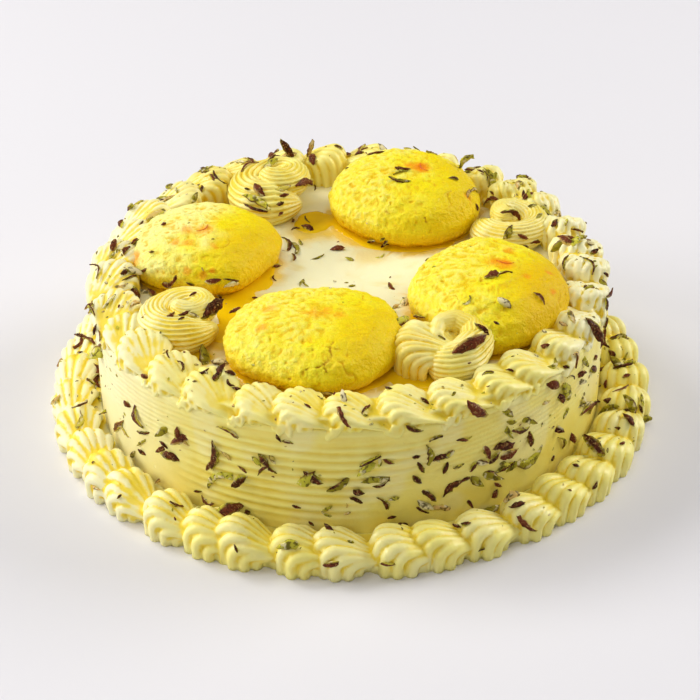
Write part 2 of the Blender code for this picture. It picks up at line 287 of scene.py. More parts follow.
def new_object(name, points, faces):
    mesh = bpy.data.meshes.new(name)
    mesh.from_pydata((np.asarray(points, float) * MM).tolist(), [], faces)
    mesh.validate()
    obj = bpy.data.objects.new(name, mesh)
    bpy.context.scene.collection.objects.link(obj)
    return obj


def tube(rings):
    """The points and faces of a closed tube through rings of points."""
    rings = np.asarray(rings, float)
    rows, count = rings.shape[:2]
    start = np.arange(rows - 1)[:, None] * count + np.arange(count)
    beside = np.arange(rows - 1)[:, None] * count + (np.arange(count) + 1) % count
    sides = np.stack([start, beside, beside + count, start + count], axis=-1).reshape(-1, 4)
    caps = [list(range(count))[::-1], [(rows - 1) * count + k for k in range(count)]]
    return rings.reshape(-1, 3), sides.tolist() + caps


def joined(shapes):
    """Shapes of (points, faces) as one."""
    points, faces, base = [], [], 0
    for some_points, some_faces in shapes:
        points.append(some_points)
        faces += [[base + k for k in face] for face in some_faces]
        base += len(some_points)
    return np.concatenate(points), faces


def apply_modifiers(obj):
    bpy.context.view_layer.update()
    evaluated = obj.evaluated_get(bpy.context.evaluated_depsgraph_get())
    mesh = bpy.data.meshes.new_from_object(evaluated)
    obj.modifiers.clear()
    obj.data = mesh


def thin_out(obj, most):
    """Takes points away where they matter least, down to so many triangles."""
    triangles = sum(len(face.vertices) - 2 for face in obj.data.polygons)
    if triangles > most:
        thin = obj.modifiers.new("Thin", "DECIMATE")
        thin.ratio = most / triangles
        apply_modifiers(obj)


def lay_skin(obj, voxel):
    """Turns an object's overlapping shapes into one closed skin round them, and softens it."""
    remesh = obj.modifiers.new("Skin", "REMESH")
    remesh.mode = "VOXEL"
    remesh.voxel_size = voxel * MM
    smooth = obj.modifiers.new("Soften", "SMOOTH")
    smooth.factor = 0.5
    smooth.iterations = 1
    apply_modifiers(obj)


def one_skin(name, shapes, voxel, most):
    """One object whose skin goes round shapes that overlap, thinned to so many triangles."""
    obj = new_object(name, *joined(shapes))
    lay_skin(obj, voxel)
    thin_out(obj, most)
    drop_specks(obj)
    return obj


def drop_specks(obj):
    """Keeps an object's largest connected part: thinning and cutting leave specks beside it."""
    bm = bmesh.new()
    bm.from_mesh(obj.data)
    left, parts = set(bm.verts), []
    while left:
        part = [left.pop()]
        for vert in part:
            for edge in vert.link_edges:
                other = edge.other_vert(vert)
                if other in left:
                    left.remove(other)
                    part.append(other)
        parts.append(part)
    parts.sort(key=len)
    bmesh.ops.delete(bm, geom=[vert for part in parts[:-1] for vert in part], context="VERTS")
    bm.to_mesh(obj.data)
    bm.free()


def read_vertices(obj, what):
    values = np.empty(len(obj.data.vertices) * 3)
    obj.data.vertices.foreach_get(what, values)
    return values.reshape(-1, 3)


def points_of(obj):
    return read_vertices(obj, "co") / MM


def normals_of(obj):
    return read_vertices(obj, "normal")


def move_points(obj, points):
    obj.data.vertices.foreach_set("co", (points * MM).ravel())
    obj.data.update()


def lift_skin(obj, lift):
    """Moves each point of the surface outward by its own lift, in mm."""
    move_points(obj, points_of(obj) + lift[:, None] * normals_of(obj))


def roughen(obj, *layers):
    """Moves the surface in and out by noise. Each layer is its size and its depth in mm."""
    points = points_of(obj)
    lift_skin(obj, sum(depth * noise(points, size, size) for size, depth in layers))


def attribute(obj, name, values):
    made = obj.data.attributes.new(name, "FLOAT", "POINT")
    made.data.foreach_set("value", np.asarray(values, np.float32))


def valleys_of(obj, rounds=6):
    """How far the skin round each point stands over it, in mm: above 0 in a valley, below on a ridge."""
    points = points_of(obj)
    ends = np.empty(len(obj.data.edges) * 2, np.int32)
    obj.data.edges.foreach_get("vertices", ends)
    first, last = ends.reshape(-1, 2).T
    here, there = np.concatenate([first, last]), np.concatenate([last, first])
    count = np.bincount(here, minlength=len(points))
    around = points
    for _ in range(rounds):
        sums = [np.bincount(here, around[there, axis], len(points)) for axis in range(3)]
        around = np.array(sums).T / count[:, None]
    return ((around - points) * normals_of(obj)).sum(axis=1)


def cut_below(obj, z):
    """Cuts off what lies under a height and closes the cut."""
    bm = bmesh.new()
    bm.from_mesh(obj.data)
    everything = bm.verts[:] + bm.edges[:] + bm.faces[:]
    level = {"plane_co": Vector((0, 0, z * MM)), "plane_no": (0, 0, 1)}
    cut = bmesh.ops.bisect_plane(bm, geom=everything, clear_inner=True, **level)
    edges = [item for item in cut["geom_cut"] if isinstance(item, bmesh.types.BMEdge)]
    closing = bmesh.ops.triangle_fill(bm, use_beauty=True, edges=edges)
    for item in closing["geom"]:
        if isinstance(item, bmesh.types.BMFace) and item.normal.z > 0:
            item.normal_flip()
    bm.to_mesh(obj.data)
    bm.free()
    drop_specks(obj)


# The combed body


def ring(angle, radius, z):
    """Points at angles round the cake's axis, at a radius and a height."""
    return np.stack([radius * np.cos(angle), radius * np.sin(angle), z + 0.0 * angle], axis=-1)


def circle(radius, z, count=WALL_COLUMNS):
    return ring(2 * np.pi * np.arange(count) / count - np.pi, radius, z)


def wall_depth(angle, z):
    """How deep the comb cut the wall, in mm: bold grooves at the front left, fine ones elsewhere."""
    around = ring(angle, 40, 0)
    wobble = 0.55 * noise(around, 22) + 0.2 * noise(around, 6)
    degrees = np.degrees(angle)
    turn = (z + wobble - GROOVE_FIRST) / GROOVE_PITCH
    end = degrees + BOLD_SLANT * (GROOVE_LAST - z)
    bold = ramp(degrees, *BOLD_FROM) * (1 - ramp(end, *BOLD_TO)) + 0.5 * ramp(degrees, *BOLD_AT_BACK)
    bold = bold * (0.85 + 0.25 * noise(around, 15, 3))
    within = ramp(z, GROOVE_FADE, 15) * (1 - ramp(z, GROOVE_LAST - GROOVE_FADE, GROOVE_LAST))
    groove = GROOVE_DEPTH * bold * within * (0.5 + 0.5 * np.cos(2 * np.pi * turn))
    fine_turn = (z + 2 * wobble - FINE_SLANT * degrees) / FINE_PITCH
    fine = FINE_DEPTH * (1 - 0.75 * bold) * ramp(z, *FINE_FROM)
    return groove + fine * (0.5 + 0.5 * np.cos(2 * np.pi * fine_turn)) ** 2


def cake_cream():
    """The body: its combed wall, its rounded edge and its top, all slightly uneven."""
    angle = 2 * np.pi * np.arange(WALL_COLUMNS) / WALL_COLUMNS - np.pi
    # the comb starts and ends at the back, so that is where its angles jump
    combed = np.where(angle > np.pi / 2, angle - 2 * np.pi, angle)
    rings = []
    for z in np.arange(0, CAKE_TOP - EDGE_ROUND, WALL_STEP):
        rings.append(ring(angle, CAKE_RADIUS - wall_depth(combed, z), z))
    for bend in np.linspace(0, np.pi / 2, 7):
        radius = CAKE_RADIUS - EDGE_ROUND * (1 - math.cos(bend))
        rings.append(circle(radius, CAKE_TOP - EDGE_ROUND * (1 - math.sin(bend))))
    for share in np.linspace(1, 0, TOP_RINGS)[1:-1] ** 0.8:
        rings.append(circle((CAKE_RADIUS - EDGE_ROUND) * share, CAKE_TOP))
    obj = new_object("cake_cream", *tube(rings))
    points = points_of(obj)
    streaks = noise(points * (1, 1, 0.4), 4)
    lift = 0.22 * noise(points, 14) + 0.12 * streaks + 0.05 * noise(points, 1.6)
    lift[points[:, 2] < 0.1] = 0
    lift_skin(obj, lift)
    thin_out(obj, MOST_BODY_TRIANGLES)
    return obj


def smooth_levels(levels, count):
    """A table of levels read at even places and eased. Gives its columns."""
    levels = np.array(levels)
    place = np.linspace(0, len(levels) - 1, count)
    kernel = np.hanning(15)[1:-1]
    eased = []
    for column in levels.T:
        even = np.interp(place, np.arange(len(levels)), column)
        padded = np.pad(even, 6, "reflect", reflect_type="odd")
        eased.append(np.convolve(padded, kernel / kernel.sum(), "valid"))
    return np.array(eased)


# The piping


def unit(vectors):
    return vectors / np.linalg.norm(vectors, axis=-1)[..., None]


def star_stroke(path, radii, ridges, depth, twist):
    """A stroke from a star nozzle along a path: round ridges with narrow valleys between them."""
    way = unit(np.gradient(path, axis=0))
    side = unit(np.cross(way, (0, 0, 1.0)))
    top = np.cross(side, way)
    turn = 2 * np.pi * np.arange(STROKE_POINTS) / STROKE_POINTS
    spin = twist * np.linspace(0, 1, len(path))[:, None]
    place = ridges * (turn + spin) / 2 + 0.7 * np.sin(turn + 2 * spin)
    reach = 1 - depth + depth * np.abs(np.cos(place)) ** 0.75
    offsets = np.sin(turn)[None, :, None] * side[:, None] + np.cos(turn)[None, :, None] * top[:, None]
    return tube(path[:, None] + radii[:, None, None] * reach[:, :, None] * offsets)


def rope(path, radii):
    """A round rope along a path."""
    way = unit(np.gradient(path, axis=0))
    sides = [unit(np.cross(way[0], (0.31, 0.17, 0.93)))]
    for step in way[1:]:
        sides.append(unit(sides[-1] - step * (sides[-1] @ step)))
    sides = np.array(sides)
    tops = np.cross(sides, way)
    turn = 2 * np.pi * np.arange(ROPE_POINTS) / ROPE_POINTS
    section = np.cos(turn)[None, :, None] * sides[:, None] + np.sin(turn)[None, :, None] * tops[:, None]
    return tube(path[:, None] + radii[:, None, None] * section)


def directions_at(angle):
    """Along the ring, outward and up, at an angle of the cake."""
    along = np.array((-math.sin(angle), math.cos(angle), 0))
    outward = np.array((math.cos(angle), math.sin(angle), 0))
    return along, outward, np.array((0, 0, 1.0))


def fan_ropes(place, axes, head, tail, fan, rng, low=-1.0):
    """A piped shell: ropes that start round the foot of its head, rise over it and meet in its tail."""
    length, width, height = head
    t = np.linspace(0, 1, ROPE_STATIONS)
    slide = t**1.55
    rise = np.sin(np.pi * t**0.55) ** 0.75
    lines = []
    for degrees in fan:
        turn = math.radians(degrees + rng.uniform(-3, 3))
        tall = height * (0.62 + 0.38 * math.cos(turn)) * rng.uniform(0.96, 1.04)
        u = -length * math.cos(turn) * (1 - slide) + tail[0] * slide
        v = width * math.sin(turn) * (1 - slide**1.3) * (1 + 0.1 * rise) + tail[1] * slide
        w = low * (1 - t) ** 6 + tall * rise + tail[2] * slide
        lines.append(place + u[:, None] * axes[0] + v[:, None] * axes[1] + w[:, None] * axes[2])
    lines = np.array(lines)
    gap = np.linalg.norm(np.diff(lines, axis=0), axis=2).mean(axis=0)
    shapes = [rope(line, ROPE_SHARE * gap * rng.uniform(0.92, 1.08)) for line in lines]
    return shapes + [tube(lines.transpose(1, 0, 2))]


def core_ring(radius, half_width, top, low=-1):
    """A plain ring of cream inside the strokes."""
    turn = 2 * np.pi * np.arange(CORE_POINTS) / CORE_POINTS
    inner, outer = radius - half_width, radius + half_width
    corners = ((inner, low), (outer, low), (outer, top), (inner, top))
    points = [(r * math.cos(a), r * math.sin(a), z) for a in turn for r, z in corners]
    faces = []
    for k in range(len(turn)):
        for i in range(4):
            n, j = (k + 1) % len(turn), (i + 1) % 4
            faces.append([4 * k + i, 4 * n + i, 4 * n + j, 4 * k + j])
    return np.array(points), faces


def foot_piping(rng, own):
    """The ring of shells. One generator places them as the solids have them, its own varies the ropes."""
    shapes = [core_ring(*FOOT_CORE)]
    for k in range(FOOT_SHELLS):
        angle = 2 * math.pi * (k + rng.uniform(-0.12, 0.12)) / FOOT_SHELLS
        size = rng.uniform(0.95, 1.04)
        axes = directions_at(angle)
        place = FOOT_RING * axes[1] - FOOT_HEAD_BACK * axes[0]
        head = [size * value for value in FOOT_HEAD]
        shapes += fan_ropes(place, axes, head, FOOT_TAIL, FOOT_FAN, own)
    obj = one_skin("foot_piping", shapes, FOOT_VOXEL, MOST_FOOT_TRIANGLES)
    roughen(obj, (5, 0.2), (1.8, 0.08))
    cut_below(obj, 0)
    return obj


def rim_rise(angle):
    """How much higher the piping stands towards the back."""
    return RIM_BACK_RISE * (0.5 + 0.5 * math.sin(angle)) ** 1.5


def frill(place, axes, head, degrees, rng):
    """A small loop of cream that hangs on the wall from the foot of a stroke's head."""
    turn = math.radians(degrees + rng.uniform(-8, 8))
    foot = place - head[0] * math.cos(turn) * axes[0] + head[1] * math.sin(turn) * axes[1]
    along, outward, up = directions_at(math.atan2(foot[1], foot[0]))
    foot = foot + (CAKE_TOP + FRILL_RISE - foot[2]) * up
    share = np.linspace(0, 1, FRILL_STATIONS)[:, None]
    out = (CAKE_RADIUS + FRILL_PROUD - math.hypot(foot[0], foot[1])) * ramp(share, 0, 0.3)
    drop = rng.uniform(*FRILL_DROP) * np.sin(np.pi * share) ** 0.8
    lean = rng.uniform(-FRILL_LEAN, FRILL_LEAN) * np.sin(np.pi * share)
    path = foot + (rng.uniform(*FRILL_SPAN) * share + lean) * along + out * outward - drop * up
    return rope(path, FRILL_ROPE * np.linspace(1.2, 0.8, FRILL_STATIONS))


def rim_stroke(angle, size, own):
    """One slanting stroke of the rim, and the frills under its head."""
    along, outward, up = directions_at(angle)
    slant = math.radians(RIM_SLANT + own.uniform(-RIM_SLANT_SPREAD, RIM_SLANT_SPREAD))
    axes = (math.cos(slant) * along + math.sin(slant) * outward,
            math.cos(slant) * outward - math.sin(slant) * along, up)
    place = RIM_RING * outward - RIM_HEAD_BACK * along + (CAKE_TOP + rim_rise(angle)) * up
    head = [size * value for value in RIM_HEAD]
    head[2] *= 1 - RIM_FRONT_FLAT * (0.5 - 0.5 * math.sin(angle)) ** 2
    ropes = fan_ropes(place, axes, head, RIM_TAIL, RIM_FAN, own, -1 - rim_rise(angle))
    return ropes + [frill(place, axes, head, degrees, own) for degrees in FRILLS]


def rim_piping(rng, own):
    """The ring of strokes. Its skin is laid again after the tearing, which folds it."""
    shapes = [core_ring(*RIM_CORE, low=RIM_CORE_FOOT)]
    for k in range(RIM_STROKES):
        angle = 2 * math.pi * (k + rng.uniform(-0.15, 0.15)) / RIM_STROKES
        shapes += rim_stroke(angle, rng.uniform(0.92, 1.08), own)
    obj = new_object("rim_piping", *joined(shapes))
    lay_skin(obj, RIM_VOXEL)
    roughen(obj, (5, 0.25), (1.8, 0.12))
    points = points_of(obj)
    degrees = np.degrees(np.arctan2(points[:, 1], points[:, 0]))
    torn = ramp(degrees, *TORN_FROM) * (1 - ramp(degrees, *TORN_TO))
    lift_skin(obj, torn * (1.0 * noise(points, 4.2, 2.6) + 0.6 * noise(points, 2.0, 8.1)))
    lay_skin(obj, RIM_VOXEL)
    thin_out(obj, MOST_RIM_TRIANGLES)
    drop_specks(obj)
    return obj


# The rosettes


def wound_rosette(name):
    """A stroke wound in and up to the rosette's eye."""
    _, _, radius, height = ROSETTES[name]
    start, turns, way, ridges, first, last, spread = WOUND[name]
    t = np.linspace(0, 1, ROSETTE_STATIONS)
    thick = radius * (first + (last - first) * t**0.8)
    angle = math.radians(start) + way * 2 * np.pi * turns * t
    reach = (radius * spread - thick[0]) * (1 - t**2.2) + 0.05 * radius * np.sin(2.3 * angle) * (1 - t)
    rise = 0.5 * thick[0] + (height - 1.0 * thick[-1] - 0.5 * thick[0]) * t**1.3
    ends = np.clip(0.2 + t / 0.15, 0, 1) ** 0.7 * np.clip(0.1 + (1 - t) / 0.08, 0, 1) ** 0.5
    path = ring(angle, reach, rise)
    stroke = star_stroke(path, thick * ends, ridges, WOUND_DEPTH, -way * 1.1 * turns)
    levels = ((radius * wide, height * high) for high, wide in WOUND_CORE)
    return [stroke, tube([circle(*level, SWIRL_CORE_POINTS) for level in levels])]


def swept_rosette():
    """A stroke that goes out of a broad fan, climbs round and curls over to the rosette's eye."""
    *path, radii = smooth_levels(SWEEP, ROSETTE_STATIONS)
    t = np.linspace(0, 1, ROSETTE_STATIONS)
    ends = np.clip(0.15 + t / 0.08, 0, 1) ** 0.6 * np.clip(0.1 + (1 - t) / 0.06, 0, 1) ** 0.5
    path = np.stack(path, axis=-1)
    stroke = star_stroke(path, radii * ends, SWEEP_RIDGES, WOUND_DEPTH, SWEEP_TWIST)
    core = tube([circle(wide, high, SWIRL_CORE_POINTS) for high, wide in SWEPT_CORE])
    return [stroke, core] + opening_fan()


def opening_fan():
    way = math.radians(FAN_WAY)
    axes = np.array(((math.cos(way), math.sin(way), 0), (math.sin(way), -math.cos(way), 0), (0, 0, 1.0)))
    return fan_ropes(np.array(FAN_PLACE), axes, FAN_HEAD, FAN_TAIL, FAN_ROPES, random.Random("fan"))


def rosette(name):
    x, y, _, _ = ROSETTES[name]
    shapes = swept_rosette() if name == SWEPT else wound_rosette(name)
    most = MOST_SWEPT_TRIANGLES if name == SWEPT else MOST_SWIRL_TRIANGLES
    obj = one_skin(name.replace("rosette", "swirl"), shapes, SWIRL_VOXEL, most)
    move_points(obj, points_of(obj) + (x, y, CAKE_TOP))
    roughen(obj, (6, 0.4), (1.6, 0.1))
    cut_below(obj, CAKE_TOP - ROSETTE_SUNK)
    return obj


# The patties


def patty_shape(name):
    """The points and faces of a flattened dumpling, as its solid has them."""
    x, y, half_length, half_width, turn, height, back_extra = PATTIES[name]
    rng = random.Random(name)
    waves = [(n, rng.uniform(-1, 1), rng.uniform(0, 2 * math.pi)) for n in (2, 3, 4, 5)]
    a = 2 * np.pi * np.arange(PATTY_COLUMNS) / PATTY_COLUMNS
    uneven = 1 + PATTY_WAVE * sum(size * np.sin(n * a + start) for n, size, start in waves)
    rings = []
    for share, width in smooth_levels(PATTY_LEVELS + ((1.01, 0.0),), PATTY_ROWS).T[:-1]:
        back = 0.5 + 0.5 * np.sin(a + math.radians(turn)) * width
        long_way = half_length * max(width, 0.004) * uneven * np.cos(a)
        short_way = half_width * max(width, 0.004) * uneven * np.sin(a)
        rings.append(np.stack([long_way, short_way, share * (height + back_extra * back)], axis=-1))
    points, faces = tube(rings)
    turned = np.array(Matrix.Rotation(math.radians(turn), 3, "Z"))
    return points @ turned.T + (x, y, CAKE_TOP), faces


def patty(name):
    """A dumpling with the crumb, pits and cracks of fresh curd. Its hollows are marked for painted shade,
    its soaked right, front side and bottom for a deeper colour that is partly painted shade, and its
    left, back side and crumb tops for a painted highlight.
    """
    x, y, half_length, half_width, _, _, _ = PATTIES[name]
    shapes = [patty_shape(name)]
    obj = one_skin(name.replace("rasmalai", "patty"), shapes, PATTY_VOXEL, MOST_PATTY_TRIANGLES)
    points = points_of(obj)
    side = 0.9 * (points[:, 0] - x) / half_length - 0.35 * (points[:, 1] - y) / half_width
    wet = ramp(side + 0.25 * noise(points, 14, 0.7), 0.15, 0.75)
    lumps = 0.5 * noise(points, 12, 2.5) + 0.25 * noise(points, 5, 7.5)
    crumb = 0.4 * noise(points, 2.4, 4.1) + 0.3 * noise(points, 1.3, 9.9)
    pits = 0.5 * ramp(noise(points, 2.0, 3.3), 0.45, 0.75) * ramp(noise(points, 9, 1.9), -0.1, 0.3)
    bent = points + 2.0 * noise(points, 4, 1.3)[:, None]
    grooved = ramp(noise(points, 12, 8.8), 0.12, 0.4) * ramp(noise(points, 3, 5.8), -0.2, 0.2)
    line = grooved * (1 - ramp(np.abs(noise(bent, 8, 6.4)), 0.0, 0.07))
    lift_skin(obj, lumps + (1 - 0.6 * wet) * (crumb - pits) - 0.55 * line)
    depth = valleys_of(obj, CRUMB_ROUNDS)
    # painted shade: the pits, grooves and valleys are coloured deeper
    hollow = 0.8 * pits + 0.8 * ramp(depth, 0.02, 0.16)
    attribute(obj, "crack", np.clip(0.8 * line + (1 - 0.7 * wet) * hollow, 0, 1))
    # deeper colour towards the bottom and on the soaked side: partly soaked curd, partly painted shade
    low = 1 - ramp(points[:, 2] - CAKE_TOP, 2, 12)
    attribute(obj, "wet", np.maximum(low, SOAK_AND_SHADE[name] * wet))
    # painted highlight: the left, back side and the crumb's tops are paler
    lit_side = (1 - low) * (1 - ramp(side + 0.4 * noise(points, 7, 3.9), -0.6, 0.5))
    attribute(obj, "pale", np.clip(lit_side * (LIT_SIDE_HIGHLIGHT[name] + 0.35 * ramp(-depth, 0.0, 0.12)), 0, 1))
    return obj


# The photograph's view


def view_turn():
    """The way back to the camera, and the camera's rotation with the photograph's roll."""
    tilt = math.radians(CAMERA_ELEVATION)
    back = Vector((0, -math.cos(tilt), math.sin(tilt)))
    return back, back.to_track_quat("Z", "Y") @ Quaternion((0, 0, 1), math.radians(-CAMERA_ROLL))


def view_place():
    back, _ = view_turn()
    return (Vector(CAMERA_TARGET) + CAMERA_DISTANCE * back) * MM


def ray_through(pixel):
    """The way from the camera through a pixel of the photograph."""
    half = FRAME_PIXELS / 2
    _, turn = view_turn()
    return (turn @ Vector((float(pixel[0]) - half, half - float(pixel[1]), -FOCAL_PIXELS))).normalized()


class Surface:
    """The food's whole surface, for laying things on it."""

    def __init__(self, objects):
        bpy.context.view_layer.update()
        graph = bpy.context.evaluated_depsgraph_get()
        self.trees = [BVHTree.FromObject(obj, graph) for obj in objects]
        self.eye = view_place()

    def cast(self, start, way, reach=10.0):
        """Where a ray first meets the food: the place, in metres, and the normal, or None."""
        hits = [tree.ray_cast(start, way, reach) for tree in self.trees]
        hits = [hit for hit in hits if hit[0] is not None]
        return min(hits, key=lambda hit: hit[3])[:2] if hits else None

    def under_pixel(self, pixel):
        """The place in mm that the photograph's pixel shows, and its normal. A pixel just off the food
        is moved onto it."""
        pixel = np.array(pixel, float)
        for _ in range(12):
            found = self.cast(self.eye, ray_through(pixel))
            if found:
                return found[0] / MM, found[1]
            pixel += 1.5 * unit(CAKE_PIXEL - pixel)
        return None

    def settled(self, place, normal, reach):
        """The level of the surface round a place: its normal, averaged over what a piece would touch."""
        side = normal.orthogonal().normalized()
        other = normal.cross(side)
        total = normal.copy()
        for across in (side, -side, other, -other):
            start = (place + reach * across + 6 * normal) * MM
            found = self.cast(start, -normal, 0.014)
            if found:
                total += found[1]
        return total.normalized()


# The slivers of nut

